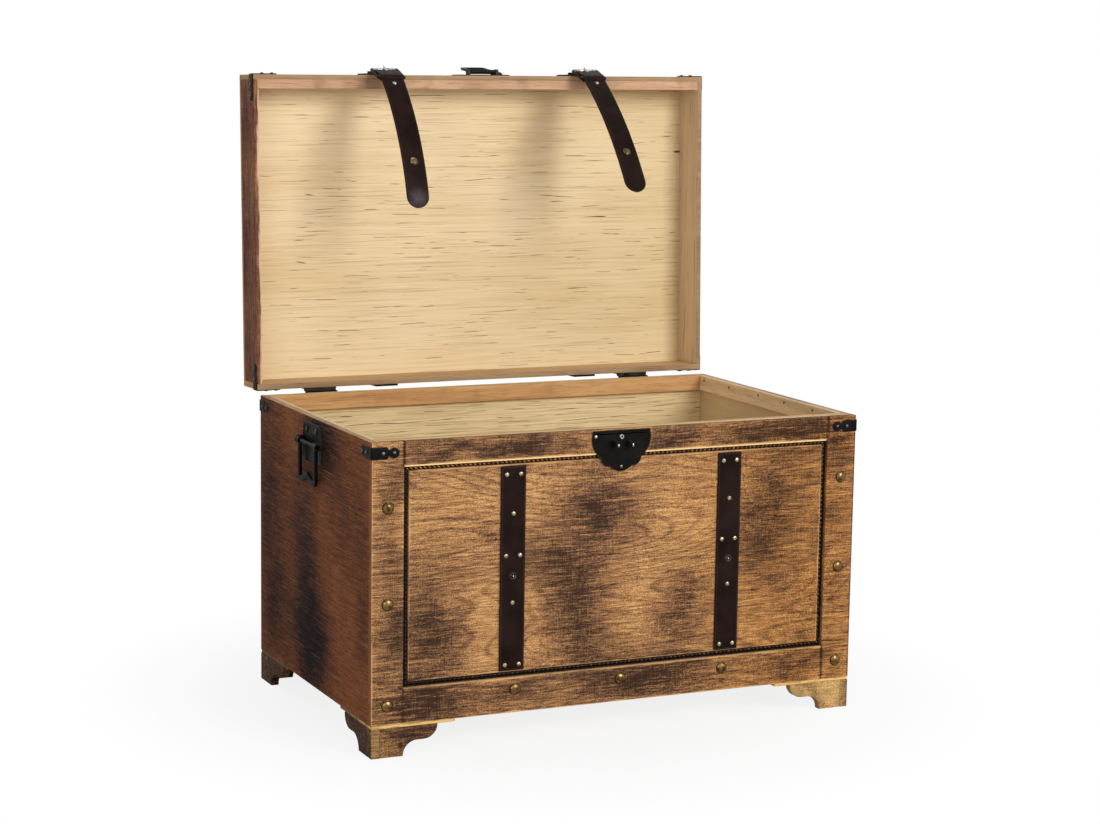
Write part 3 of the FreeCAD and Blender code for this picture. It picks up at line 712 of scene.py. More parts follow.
golden_browns = (
    (0.0, tone(220, 174, 116)), (0.22, tone(196, 147, 93)), (0.45, tone(160, 114, 72)),
    (0.7, tone(110, 78, 54)), (1.0, tone(56, 36, 24)),
)
red_browns = (
    (0.0, tone(150, 92, 57)), (0.3, tone(114, 68, 43)), (0.6, tone(74, 46, 35)),
    (0.85, tone(44, 32, 29)), (1.0, tone(28, 22, 22)),
)
lid_browns = (
    (0.0, tone(160, 112, 80)), (0.3, tone(118, 78, 60)), (0.6, tone(82, 52, 46)), (1.0, tone(38, 27, 30)),
)
foot_browns = (
    (0.0, tone(244, 202, 132)), (0.25, tone(216, 168, 104)), (0.5, tone(148, 99, 60)),
    (0.75, tone(88, 59, 44)), (1.0, tone(42, 29, 26)),
)
front_wood = stained_wood(
    "stained_front_wood", 0, golden_browns, tone(222, 176, 118), base=0.365, char=0.77, warm=0.8
)
side_wood = stained_wood(
    "red_brown_side_wood", 1, red_browns, tone(150, 108, 76), base=0.18, char=0.88, wear=0.35,
    scratched=0.4, grain=0.65, rings=0.03, level=0.03,
)
stile_side_wood = stained_wood(
    "stile_side_wood", 2, red_browns, tone(164, 114, 76), base=0.14, char=0.4, wear=0.3, level=0.03
)
lid_side_wood = stained_wood(
    "dark_lid_wood", 2, lid_browns, tone(150, 108, 82), base=0.06, wear=0.35, scratched=0.3, grain=0.7,
    level=0.03,
)
lid_rim_wood = stained_wood(
    "lid_rim_wood", 2, lid_browns, tone(226, 184, 154), base=0.1, wear=0.95, grain=0.7, level=0.03
)
lid_top_wood = stained_wood("lid_top_wood", 0, golden_browns, tone(214, 166, 110), base=0.42)
foot_wood = stained_wood("foot_wood", 0, foot_browns, tone(40, 30, 25), base=0.12, char=0.78, wear=0.6)
# The lid's ply takes a painted shade towards the right and painted shadows by the straps.
lid_ply = pale_ply(
    "pale_lid_ply", 0, tone(243, 219, 176), tone(227, 198, 150), tone(104, 56, 20),
    painted_shade=0.55, with_painted_shadows=True,
)
chest_ply = pale_ply(
    "streaked_chest_ply", 0, tone(240, 216, 166), tone(212, 187, 136), tone(84, 66, 42), crowding=0.09
)
lid_back_ply = pale_ply(
    "lid_back_ply", 0, tone(206, 172, 124), tone(184, 146, 102), tone(112, 78, 52), crowding=0.03
)
side_ply = pale_ply("side_ply", 1, tone(224, 200, 157), tone(208, 182, 140), tone(112, 84, 55), streaks=0.5)
lid_side_ply = pale_ply("lid_side_ply", 2, tone(220, 195, 160), tone(196, 168, 132), tone(112, 86, 62))
batten_pine = plain_wood("batten_pine", 0, tone(218, 170, 114), tone(194, 144, 92), tone(126, 86, 54))
lid_pine = plain_wood(
    "lid_batten_pine", 0, tone(210, 169, 133), tone(184, 139, 106), tone(108, 72, 53), smudge=0.6
)
side_pine = plain_wood(
    "side_batten_pine", 1, tone(243, 214, 172), tone(222, 192, 150), tone(160, 128, 94), smudge=0.2
)
side_rim = plain_wood("side_rim_wood", 1, tone(198, 164, 128), tone(172, 136, 103), tone(84, 62, 48))
rim_wood = plain_wood("bare_rim_wood", 0, tone(174, 143, 107), tone(152, 119, 87), tone(100, 72, 50))
bead_finish = gilded_bead()
leather = brown_leather()
iron = black_iron()
brass = aged_metal("aged_brass", tone(136, 109, 66), tone(70, 53, 30), tone(26, 19, 12))
old_brass = aged_metal("old_brass", tone(108, 95, 60), tone(62, 53, 33), tone(30, 24, 16))
pale_brass = aged_metal("pale_brass", tone(184, 170, 138), tone(120, 104, 76), tone(36, 30, 24))
steel = aged_metal("bright_steel", tone(196, 192, 186), tone(110, 106, 102), tone(30, 28, 27))
dull_steel = aged_metal("dull_steel", tone(118, 112, 104), tone(58, 54, 50), tone(22, 20, 19))
gold_trim = gold_paint()

# Burnt patches: place along the face, height above the box's bottom, half length, half height, strength
front_marks = (
    (-0.288, 0.140, 0.034, 0.046, 0.65), (-0.285, 0.112, 0.042, 0.044, 0.55),
    (-0.204, 0.262, 0.018, 0.026, 0.40), (-0.040, 0.275, 0.056, 0.054, 0.92),
    (-0.096, 0.214, 0.058, 0.034, 0.70), (-0.072, 0.162, 0.042, 0.044, 0.72),
    (-0.060, 0.104, 0.040, 0.044, 0.80), (0.101, 0.151, 0.028, 0.028, 0.65),
    (0.092, 0.104, 0.046, 0.036, 0.65), (0.249, 0.290, 0.024, 0.032, 0.45),
    (0.221, 0.212, 0.036, 0.060, 0.68), (0.352, 0.337, 0.022, 0.024, 0.70),
    (0.255, 0.256, 0.080, 0.090, 0.48), (0.352, 0.150, 0.030, 0.200, 0.22),
    (0.075, 0.373, 0.040, 0.020, 0.92), (0.265, 0.375, 0.080, 0.020, 0.90),
    (-0.274, 0.371, 0.050, 0.024, 0.70), (-0.160, 0.371, 0.090, 0.024, 0.90),
    (0.190, 0.371, 0.060, 0.022, 0.60), (0.050, 0.031, 0.105, 0.034, 0.96),
    (-0.020, 0.036, 0.060, 0.030, 0.45), (-0.302, 0.027, 0.056, 0.032, 1.00),
    (-0.300, 0.022, 0.036, 0.022, 0.80), (-0.346, 0.331, 0.018, 0.024, 0.60),
    (0.290, 0.120, 0.040, 0.060, 0.22), (-0.170, 0.030, 0.050, 0.024, 0.70),
    (-0.340, 0.130, 0.018, 0.045, 0.85), (-0.350, 0.240, 0.020, 0.060, 0.45),
    (0.270, 0.030, 0.060, 0.026, 0.55), (0.340, 0.250, 0.020, 0.022, 0.40),
    (-0.360, 0.060, 0.016, 0.080, 0.35), (-0.265, 0.215, 0.070, 0.040, 0.28),
    (0.290, 0.372, 0.050, 0.026, 0.80),
)
side_marks = (
    (0.244, 0.070, 0.062, 0.060, 1.0), (0.240, 0.060, 0.046, 0.050, 0.9),
    (0.262, 0.160, 0.040, 0.090, 0.7), (0.087, 0.277, 0.080, 0.070, 0.3),
    (0.410, 0.080, 0.050, 0.060, 0.6), (0.420, 0.200, 0.060, 0.080, 0.2),
    (0.030, 0.150, 0.036, 0.090, 0.3), (0.195, 0.362, 0.056, 0.046, 1.0),
    (0.430, 0.230, 0.036, 0.070, 0.3), (0.290, 0.250, 0.050, 0.060, 0.35),
    (0.430, 0.290, 0.060, 0.110, 0.35), (0.370, 0.120, 0.050, 0.100, 0.2),
)


def burnt(along, up, marks):
    """One less the product, over the marks, of one less a soft oval."""
    marks = np.array(marks)
    first = (along[:, None] - marks[:, 0]) / marks[:, 2]
    second = (up[:, None] - marks[:, 1]) / marks[:, 3]
    ovals = marks[:, 4] * np.exp(-0.8 * (first ** 2 + second ** 2))
    return 1 - np.prod(1 - ovals, axis=1)


def burnt_front(points):
    """How burnt the front is, with a dark seam where stiles and rails meet and a dark right edge.

    A patch counts with most of its strength, and with the rest only at its darkest core.
    """
    tolerance, seam_half, seam_burn = 0.0005, 0.0009, 0.9
    edge_burn, edge_fade, plain_part, core_part = 0.95, 500, 0.83, 0.17
    across, up = np.abs(points[:, 0]), points[:, 2]
    open_part = (up > frame_bottom - tolerance) & (up < frame_top + tolerance)
    seam = np.where(open_part, 0.0, seam_burn * (np.abs(across - frame_half) < seam_half))
    right_edge = np.clip(edge_burn - edge_fade * (half_width - points[:, 0]), 0, 1)
    patches = burnt(points[:, 0], up - box_bottom, front_marks)
    return 1 - (1 - seam) * (1 - right_edge) * (1 - plain_part * patches - core_part * patches ** 6)


def burnt_side(points):
    """How burnt the sides are at each point."""
    return burnt(points[:, 1] - front_face, points[:, 2] - box_bottom, side_marks)


def burnt_lid_side(points):
    """How burnt the lid's sides are: patches over the depth, and a dark tail along the top edge."""
    marks = (
        (0.08, 0.42, 0.05, 0.05, 0.6), (0.26, 0.44, 0.07, 0.06, 0.7), (0.24, 0.46, 0.30, 0.02, 0.4),
        (0.42, 0.43, 0.06, 0.05, 0.55),
    )
    return burnt(points[:, 1] - front_face, points[:, 2] - box_bottom, marks)


def burnt_lid_top(points):
    """How burnt the lid's top is: patches laid out over its width and depth."""
    marks = (
        (-0.26, 0.13, 0.08, 0.06, 0.8), (-0.02, 0.32, 0.10, 0.08, 0.8), (0.25, 0.20, 0.07, 0.10, 0.75),
        (-0.30, 0.40, 0.06, 0.05, 0.7), (0.06, 0.08, 0.09, 0.05, 0.7), (0.30, 0.42, 0.06, 0.05, 0.8),
    )
    return burnt(points[:, 0], points[:, 1] - front_face, marks)


def lid_panel_burn_and_painted_shadow(points):
    """How burnt the lid's panel is on its top; on the ply, painted shadows beside the straps and a faint
    painted shade along the front edge.
    """
    painted_shadow_marks = (
        (0.120, 0.09, 0.040, 0.13, 0.36), (-0.235, 0.10, 0.040, 0.12, 0.10), (0.0, 0.01, 0.50, 0.02, 0.12),
    )
    beneath = burnt(points[:, 0], points[:, 1] - front_face, painted_shadow_marks)
    return np.where(points[:, 2] < lid_top - 0.002, beneath, burnt_lid_top(points))


def burnt_foot(points):
    """How burnt the feet are: dark sides and backs, a dark left bracket and a golden right one."""
    across, back, up = points.T
    side_skin, front_skin, front_board, return_board = 0.0009, 0.0004, 0.0135, 0.0130
    outside = (np.abs(across) > half_width - side_skin) & (back > front_face + front_skin)
    behind = back > front_face + front_board
    end_grain = np.abs(across) > half_width - return_board
    marks = (
        (-0.330, 0.030, 0.040, 0.030, 1.0), (-0.292, 0.032, 0.036, 0.030, 0.8),
        (0.372, 0.020, 0.004, 0.030, 0.7), (0.300, 0.040, 0.020, 0.004, 0.3),
    )
    front = np.where(end_grain & (across < 0), 0.2, burnt(across, up, marks))
    return np.where(outside | behind, 0.85, front)


def dulled_plate(points):
    """How dull the gold plates are: bright at the front and dull behind."""
    bright_depth, fading, dullest = 0.02, 0.05, 0.9
    return dullest * np.clip((points[:, 1] - front_face - bright_depth) / fading, 0, 1)


def smeared_lid_batten(points):
    """A dark smear on the lid's front batten beside the left strap, and a faint one by the lock."""
    marks = ((-0.205, 0.0, 0.022, 1.0, 0.7), (-0.015, 0.0, 0.018, 1.0, 0.35))
    return burnt(points[:, 0], 0.0 * points[:, 2], marks)


# Box


def front_wear(points):
    """Distance from the front's left or lower edge, or on the rails from the opening if that is less."""
    tolerance = 0.0001
    across, up = points[:, 0], points[:, 2]
    outline = np.minimum(half_width + across, up - box_bottom)
    beyond = np.maximum(np.maximum(frame_bottom - up, up - frame_top), 0)
    return np.minimum(outline, np.where(np.abs(across) < frame_half - tolerance, beyond, FAR))


def dress_front():
    """Stiles, rails and the raised field, with burnt patches that run on from board to board."""
    skin = 0.0004

    def stile_side(middles):
        """The stile's outer side takes the second material."""
        return np.abs(middles[:, 0]) > half_width - skin

    for node, axis in (("stile_left", 2), ("stile_right", 2), ("top_rail", 0), ("bottom_rail", 0)):
        solid = board(*span(node), axis, arris=0.0007)
        solid = solid._replace(edge=front_wear(solid.points))
        add_piece(
            node + "_wood", "chest", [node], [solid], [front_wood, stile_side_wood],
            pick=stile_side, burn_and_painted_light=burnt_front,
        )
    field = board(*span("front_field"), 0, arris=0.0014)
    add_piece(
        "front_field_wood", "chest", ["front_field"], [field], [front_wood], burn_and_painted_light=burnt_front
    )


def dress_beads():
    """Beads round the field: a smooth outer fillet, then a half round that ripples along its run.

    The top one's fillet stands nearly level with the rail. The ends are cut on the mitre: a point's
    place along the run moves in by its distance from the outer edge. Gold stays on the fillet and on
    the ribs' crests, more or less along the run.
    """
    pitch, fillet, slope, sunk = 0.0068, 0.29, 0.03, 0.0008
    ground, rise, valley, fillet_height = 0.26, 0.70, 0.55, 0.78
    gilding = {
        "bead_top": (1.3, 1.0, 0.75, 0.55), "bead_bottom": (0.0, 0.1, 0.3, 0.45),
        "bead_left": (0.0, 0.1, 0.15, 0.25), "bead_right": (0.2, 0.1, 0.5, 0.55),
    }
    share = np.array([
        0, 0.03, 0.08, 0.15, 0.22, 0.26, 0.29, 0.36, 0.44, 0.52, 0.6, 0.7, 0.8, 0.88, 0.95, 1.0,
    ])
    swell = np.sin(np.pi * np.clip((share - fillet) / (1 - fillet), 0, 1))
    on_fillet = np.clip((fillet - share) / slope, 0, 1) * np.clip(share / slope, 0, 1)
    for node, (fillet_start, fillet_end, rib_start, rib_end) in gilding.items():
        low, high = span(node)
        along = 0 if node in ("bead_top", "bead_bottom") else 2
        width = 2 - along
        size = high[width] - low[width]
        thick = high[1] - low[1]
        length = high[along] - low[along]
        ribs = round(length / pitch)
        inward = -1 if node in ("bead_top", "bead_right") else 1
        outer_edge = high[width] if inward < 0 else low[width]
        place = np.linspace(0, 1, ribs * 6 + 1)[:, None]
        ripple = 0.5 + 0.5 * np.cos(2 * np.pi * place * ribs)
        ribbed = swell ** 0.6 * (valley + (1 - valley) * ripple)
        raised_fillet = high[1] - front_face - sunk if node == "bead_top" else fillet_height * thick
        crown = np.maximum(thick * (ground + rise * ribbed), raised_fillet * on_fillet)
        mitred = size * share
        front = np.empty((*crown.shape, 3))
        front[..., along] = low[along] + mitred + (length - 2 * mitred) * place
        front[..., width] = outer_edge + inward * mitred
        front[..., 1] = high[1] - crown
        back = front[:, ::-1].copy()
        back[..., 1] = high[1]
        fillet_gold = fillet_start + (fillet_end - fillet_start) * place
        rib_gold = rib_start + (rib_end - rib_start) * place
        gold = np.maximum(fillet_gold * on_fillet, rib_gold * ripple * swell)
        solid = tube(np.concatenate([front, back], axis=1), edge=np.concatenate([gold, 0 * gold], axis=1))
        add_piece(node + "_ribbed", "chest", [node], [solid], [bead_finish])


def dress_walls():
    """Sides, back, bottom and the board behind the front, stained outside and pale inside."""
    skin = 0.0006
    inner_side = -span("side_panel_left")[1][0]

    def side_or_inside(middles):
        """Stained outside, ply inside and bare wood on the rim."""
        inside = np.abs(middles[:, 0]) < inner_side + skin
        return np.where(middles[:, 2] > box_top - skin, 2, inside)

    def back_or_inside(middles):
        """Stained behind and ply elsewhere."""
        return middles[:, 1] < back_face - skin

    for node in ("side_panel_left", "side_panel_right"):
        add_piece(
            node + "_wood", "chest", [node], [board(*span(node), 1)],
            [side_wood, side_ply, side_rim], pick=side_or_inside, burn_and_painted_light=burnt_side,
        )
    add_piece(
        "back_panel_ply", "chest", ["back_panel"], [board(*span("back_panel"), 0)],
        [lid_top_wood, chest_ply], pick=back_or_inside, burn_and_painted_light=burnt_front,
    )
    for node in ("front_board", "bottom_board"):
        add_piece(node + "_ply", "chest", [node], [board(*span(node), 0)], [chest_ply])


def dress_battens():
    """Battens inside the rim, of bare softwood, and the small pins that hold the right one."""
    battens = {
        "front": (0, batten_pine), "back": (0, batten_pine),
        "left": (1, side_pine), "right": (1, side_pine),
    }
    for side, (axis, material) in battens.items():
        node = "rim_batten_" + side
        add_piece(node + "_pine", "chest", [node], [board(*span(node), axis)], [material])
    low, high = span("rim_batten_right")
    pin = dome_profile(0.0019, 0.0009)
    shares = np.array([0.165, 0.363, 0.55, 0.77, 0.965])
    pin_drop = 0.0065
    seats = [(low[0], y, high[2] - pin_drop) for y in low[1] + shares * (high[1] - low[1])]
    pins = [lathed(seat, -X, pin) for seat in seats]
    add_piece("rim_batten_pins", "chest", [], pins, [iron])


dress_front()
dress_beads()
dress_walls()
dress_battens()


# Feet


def dress_feet():
    """Bracket feet of two boards: the return runs through to the front face and shows its end there.

    The outline goes from the corner along the floor, up the hollow cove, over a short flat, up
    the swelling ovolo and back along the top.
    """
    low, high = span("foot_front_left")
    height = high[2] - low[2]
    reach = high[0] + half_width
    toe, cove, thick, ease, side_longer = 0.047, 0.021, 0.0125, 0.0008, 0.005
    side_reach = reach + side_longer
    ovolo = height - cove
    edges = eased_rims(thick, ease)

    def outline(start, end):
        """A bracket's outline, from its place along the floor to its far end."""
        return np.concatenate([
            [(start, 0.0)],
            arc((toe + cove, 0.0), cove, 180, 90),
            arc((end - ovolo, height), ovolo, 270, 360),
            [(start, height)],
        ])

    face = plate(outline(thick, reach), (-half_width, low[1] + thick, 0), X, Z, edges)
    side = plate(outline(0.0, side_reach), (-half_width, low[1], 0), Y, Z, edges)
    solids = four_corners([face, side])
    for index, name in enumerate(("front_left", "front_right", "rear_left", "rear_right")):
        add_piece(
            "foot_" + name + "_bracket", "chest", ["foot_" + name],
            solids[2 * index:2 * index + 2], [foot_wood], burn_and_painted_light=burnt_foot,
        )
    plate_low, plate_high = span("foot_plates")
    plate_size = 0.1225
    plate_end = (plate_low[0] + plate_size, plate_low[1] + plate_size, plate_high[2])
    corner = board(plate_low, plate_end, 0, step=0.02)
    add_piece(
        "foot_plates_gold", "chest", ["foot_plates"], four_corners([corner]), [gold_trim],
        burn_and_painted_light=dulled_plate,
    )


dress_feet()


# Leather bands, nails and iron on the front

small_nail = dome_profile(0.0036, 0.002)
fine_nail = dome_profile(0.0029, 0.0017)
# Places in the nails' row of finishes, after brass
pale_head, steel_head, dull_head = 1, 2, 3
band_rows = ((0.04, 2), (0.23, 1), (0.435, 2), (0.665, 1), (0.97, 2))
lid_rows = ((0.06, 2), (0.28, 1), (0.5, 2), (0.72, 1), (0.94, 2))
nail_spread = 0.021
band_half = (band_high[0] - band_low[0]) / 2
strap_sides = {"left": -strap_centre, "right": strap_centre}


def nail_columns(nail_rows):
    """Each row's share of the way and its nails' places across a strap: one in the middle or two."""
    for share, count in nail_rows:
        for index in range(count):
            yield share, nail_spread * (index - (count - 1) / 2)


def press_stud(seat, normal):
    """The socket of a press stud: a thin dull ring round a dark cup, with a small bright knob in it as a
    painted highlight.
    """
    cup = (
        (0.006, 0), (0.006, 0.0007), (0.0054, 0.0011),
        (0.0026, 0.0009), (0.0022, 0.0019), (0.0004, 0.0022),
    )
    ring = ((0.0042, 0.0006), (0.0042, 0.0017), (0.0038, 0.002), (0.0033, 0.0017), (0.0032, 0.0006))
    ring_solid = lathed(seat, normal, ring)
    bright = np.full(len(ring_solid.edge), FAR)
    # Painted highlight: the knob takes bright steel, as the light spot in the stud's middle.
    knob = lathed(np.array(seat) + 0.002 * normal, normal, dome_profile(0.0017, 0.0006))
    return [lathed(seat, normal, cup), ring_solid._replace(finish=2, edge=bright), knob._replace(finish=1)]


def dress_bands():
    """Leather bands down the field, their press studs and their nails."""
    height = band_high[2] - band_low[2]
    stud_share = 0.535
    studs, nails = [], []
    for side, centre in strap_sides.items():
        node = "front_band_" + side
        solid = board(*span(node), 2, arris=0.0011)
        add_piece(node + "_leather", "chest", [node], [solid], [leather])
        studs += press_stud((centre, band_low[1], band_high[2] - stud_share * height), -Y)
        for share, across in nail_columns(band_rows):
            seat = (centre + across, band_low[1], band_high[2] - share * height)
            nails.append(lathed(seat, -Y, small_nail))
    add_piece("snap_studs_turned", "chest", ["snap_studs"], studs, [iron, steel, dull_steel])
    return [nail._replace(finish=pale_head) for nail in nails]


def dress_dome_nails():
    """Large dome nails up the stiles and along the bottom rail."""
    profile = dome_profile(0.0085, 0.0045, flange=0.12)
    stile_shares, rail_shares, rail_share = (0.07, 0.43, 0.77), (0.253, 0.5, 0.747), 0.66
    stile_middle = (frame_half + half_width) / 2
    seats = []
    for share in stile_shares:
        height = box_bottom + share * (box_top - box_bottom)
        seats += [(-stile_middle, height), (stile_middle, height)]
    rail_height = box_bottom + rail_share * (frame_bottom - box_bottom)
    seats += [(frame_half * (2 * share - 1), rail_height) for share in rail_shares]
    heads = [lathed((x, front_face, z), -Y, profile, around=28) for x, z in seats]
    add_piece("dome_nails_brass", "chest", ["dome_nails"], heads, [brass])


corner_band_thick = 0.0015


def corner_band(middle):
    """A metal band bent round the front left corner, with a waist and a round end on each leg.

    Half its height is a broad body, eased into a neck, then the half chord of the end's circle.
    """
    thick, body, neck, bulb, reach, bend = corner_band_thick, 0.0085, 0.0045, 0.0073, 0.039, 0.0006
    shoulder, easing = 0.0225, 0.0005
    leg = np.concatenate([np.linspace(0.002, 0.021, 6), np.linspace(0.0215, reach - 0.0002, 26)])
    waist = neck + (body - neck) / (1 + np.exp((leg - shoulder) / easing))
    chord = np.sqrt(np.maximum(bulb ** 2 - (leg - reach + bulb) ** 2, 0))
    half_height = np.where(leg > reach - bulb, chord, np.maximum(waist, chord))
    turn = np.radians(np.linspace(0, 90, 7))
    corner = np.array([-half_width, front_face, middle])
    front_leg = corner + leg[::-1, None] * X - thick / 2 * Y
    radius = bend + thick / 2
    bent = corner + bend * (X + Y) - radius * (np.cos(turn)[:, None] * Y + np.sin(turn)[:, None] * X)
    side_leg = corner + leg[:, None] * Y - thick / 2 * X
    path = np.concatenate([front_leg, bent, side_leg])
    half = np.concatenate([half_height[::-1], np.full(len(turn), body), half_height])
    return swept(path, Z, half, thick / 2, 0.0005)


def corner_band_nails(middle):
    """Two nails on each leg of the front left corner band."""
    nails = []
    nail_places = (0.016, 0.0317)
    for place in nail_places:
        front_seat = (-half_width + place, front_face - corner_band_thick, middle)
        side_seat = (-half_width - corner_band_thick, front_face + place, middle)
        nails += [lathed(front_seat, -Y, fine_nail), lathed(side_seat, -X, fine_nail)]
    return [nail._replace(finish=dull_head) for nail in nails]


def half_moon(straight, direction):
    """A lock plate: five lobes hung from a straight edge, with a raised rim.

    The outline is half an ellipse whose size swells by a half sine between the cusps.
    """
    half, depth, swell = 0.044, 0.055, 0.0035
    cusps = (0.0, 44.0, 68.0, 112.0, 136.0, 180.0)
    share = np.linspace(0, 1, 13)[:-1]
    runs = []
    for start, end in zip(cusps, cusps[1:]):
        angle = np.radians(start + (end - start) * share)
        grown = swell * np.sin(np.pi * share)
        lobe = ((half + grown) * np.cos(angle), direction * (depth + grown) * np.sin(angle))
        runs.append(np.stack(lobe, 1))
    outline = np.concatenate(runs + [[(-half, 0.0)]])
    edges = ((0, 0), (0, 0.0011), (0.0005, 0.0015), (0.0018, 0.0015), (0.0024, 0.0010), (0.006, 0.0011))
    return plate(outline, (latch_centre, front_face, straight), X, Z, edges)


def staple(centre):
    """A padlock staple: a round eye with a bright steel cap in front as a painted highlight, on a short
    neck out from the plate.
    """
    drop, half, reach, outer, inner = 0.0215, 0.0025, 0.0094, 0.005, 0.0028
    eye = np.array([centre, front_face - latch_thick - reach, box_top - drop])
    circle = arc((0, 0), (outer + inner) / 2, 0, 345, 24)
    path = eye + circle[:, :1] * Y + circle[:, 1:] * Z
    ring = swept(path, X, half, (outer - inner) / 2, 0.0006, closed=True)
    neck = board(
        (centre - half, eye[1] + inner, eye[2] - outer),
        (centre + half, front_face - latch_thick, eye[2] + outer),
        1, arris=0.0007, step=0.003,
    )
    # Painted highlight: a bright steel cap without the dark rim, where the eye's nose catches the light.
    tip = lathed(eye + (0.0006 - outer) * Y, -Y, dome_profile(0.0022, 0.0006))
    return [ring, neck, tip._replace(finish=1, edge=np.full(len(tip.edge), FAR))]


def dress_latch():
    """The lower lock plate with its rivets, and the two padlock staples on it."""
    lock_plate = half_moon(latch_high[2], -1)
    add_piece("latch_plate_stamped", "chest", ["latch_plate"], [lock_plate], [iron])
    spacing = 0.0225
    staples = staple(latch_centre - spacing / 2) + staple(latch_centre + spacing / 2)
    add_piece("latch_staples_eyed", "chest", ["latch_staples"], staples, [iron, steel])
    face = front_face - latch_thick
    ring_drop, rivet_drop, nail_drop, nail_out = 0.011, 0.053, 0.0095, 0.040
    washer = (
        (0.0034, 0), (0.0034, 0.0008), (0.0027, 0.0016),
        (0.0019, 0.0015), (0.0015, 0.0004), (0.0004, 0.0003),
    )
    ring = lathed((latch_centre, face, box_top - ring_drop), -Y, washer)
    low_rivet = lathed((latch_centre, face, box_top - rivet_drop), -Y, fine_nail)
    side_nail = lathed((latch_centre - nail_out, face, box_top - nail_drop), -Y, fine_nail)
    # Painted shade: the washer's hollow middle keeps the dark rim colour, as shade in its hole, and its
    # outer part stays bright.
    bright = np.where(ring.edge < 0.0017, FAR, 0)
    return [
        ring._replace(finish=steel_head, edge=bright), low_rivet._replace(finish=dull_head),
        side_nail._replace(finish=pale_head),
    ]


dress_dome_nails()
band_middle = box_top - 0.015
add_piece(
    "corner_bands_bent", "chest", ["corner_bands"],
    four_corners([corner_band(band_middle)]), [iron],
)
chest_nails = dress_bands() + dress_latch() + four_corners(corner_band_nails(band_middle))


# Lid


def dress_lid():
    """The lid's panel, walls and front batten: stained outside, pale ply inside."""
    skin = 0.0004

    def out_in_or_rim(middles):
        """Stained outside, ply inside and bare wood on the rim."""
        outer = np.abs(middles[:, 0]) > half_width - skin
        outer |= middles[:, 2] > lid_top - skin
        outer |= (middles[:, 1] < front_face + skin) | (middles[:, 1] > back_face - skin)
        return np.where(outer, 0, np.where(middles[:, 2] < rim + skin, 2, 1))

    boards = {
        "lid_panel": (0, lid_top_wood, lid_ply, lid_panel_burn_and_painted_shadow),
        "lid_front_wall": (0, lid_top_wood, lid_ply, burnt_lid_top),
        "lid_back_wall": (0, lid_top_wood, lid_back_ply, burnt_lid_top),
        "lid_left_wall": (1, lid_side_wood, lid_side_ply, burnt_lid_side),
        "lid_right_wall": (1, lid_side_wood, lid_side_ply, burnt_lid_side),
    }
    left_inside = span("lid_left_wall", lid=True)[1][0]
    rim_wear = 0.6
    for node, (axis, outside, inside, burn_and_painted_light) in boards.items():
        solid = board(*span(node, lid=True), axis)
        rim_finish = rim_wood
        if node == "lid_left_wall":
            rim_finish = lid_rim_wood
            solid = solid._replace(edge=rim_wear * (left_inside - solid.points[:, 0]))
        add_piece(
            node + "_wood", "lid", [node], [solid], [outside, inside, rim_finish],
            pick=out_in_or_rim, burn_and_painted_light=burn_and_painted_light, lid=True,
        )
    batten = board(*span("lid_front_batten", lid=True), 0)
    add_piece(
        "lid_front_batten_pine", "lid", ["lid_front_batten"], [batten], [lid_pine],
        burn_and_painted_light=smeared_lid_batten, lid=True,
    )


def dress_lid_straps():
    """Leather straps over the lid with a doubled end, and their nails.

    The path goes up the front, over the top and down the back, round a small arc at each corner.
    """
    bend = 0.004
    low = rim + 0.001
    half = band_thick / 2
    doubled_length = 0.025
    front_corner = (front_face + bend - half, lid_top - bend + half)
    back_corner = (back_face - bend + half, lid_top - bend + half)
    flat = np.concatenate([
        [(front_face - half, z) for z in np.linspace(low, lid_top - bend, 8)],
        arc(front_corner, bend, 180, 90)[1:-1],
        [(y, lid_top + half) for y in np.linspace(front_face + bend, back_face - bend, 40)],
        arc(back_corner, bend, 90, 0)[1:-1],
        [(back_face + half, z) for z in np.linspace(lid_top - bend, low, 8)],
    ])
    path = np.insert(flat, 0, 0.0, axis=1)
    crossing = (-1, -0.9, -0.5, 0, 0.5, 0.9, 1)
    nails = []
    for side, centre in strap_sides.items():
        strap = swept(path + centre * X, X, band_half, half, 0.001, cross_rows=crossing)
        doubled = board(
            (centre - band_half, front_face - 2 * band_thick, low),
            (centre + band_half, front_face - band_thick, low + doubled_length), 2, arris=0.001,
        )
        node = "lid_strap_" + side
        add_piece(node + "_leather", "lid", [node], [strap, doubled], [leather], lid=True)
        for share, across in nail_columns(lid_rows):
            seat = (centre + across, front_face + share * chest_depth, lid_top + band_thick)
            nails.append(lathed(seat, Z, small_nail))
    return nails


hasp_pivot = turned(hasp_axis, hinge_axis, open_angle)
hasp_half = 0.0205
ear_gap = 0.0004


def eared_tab(radius, foot):
    """The outline of an ear: half a circle in front of its pin, and straight sides back to a foot."""
    return np.concatenate([arc((0, 0), radius, 90, 270, 12), [(foot, -radius), (foot, radius)]])


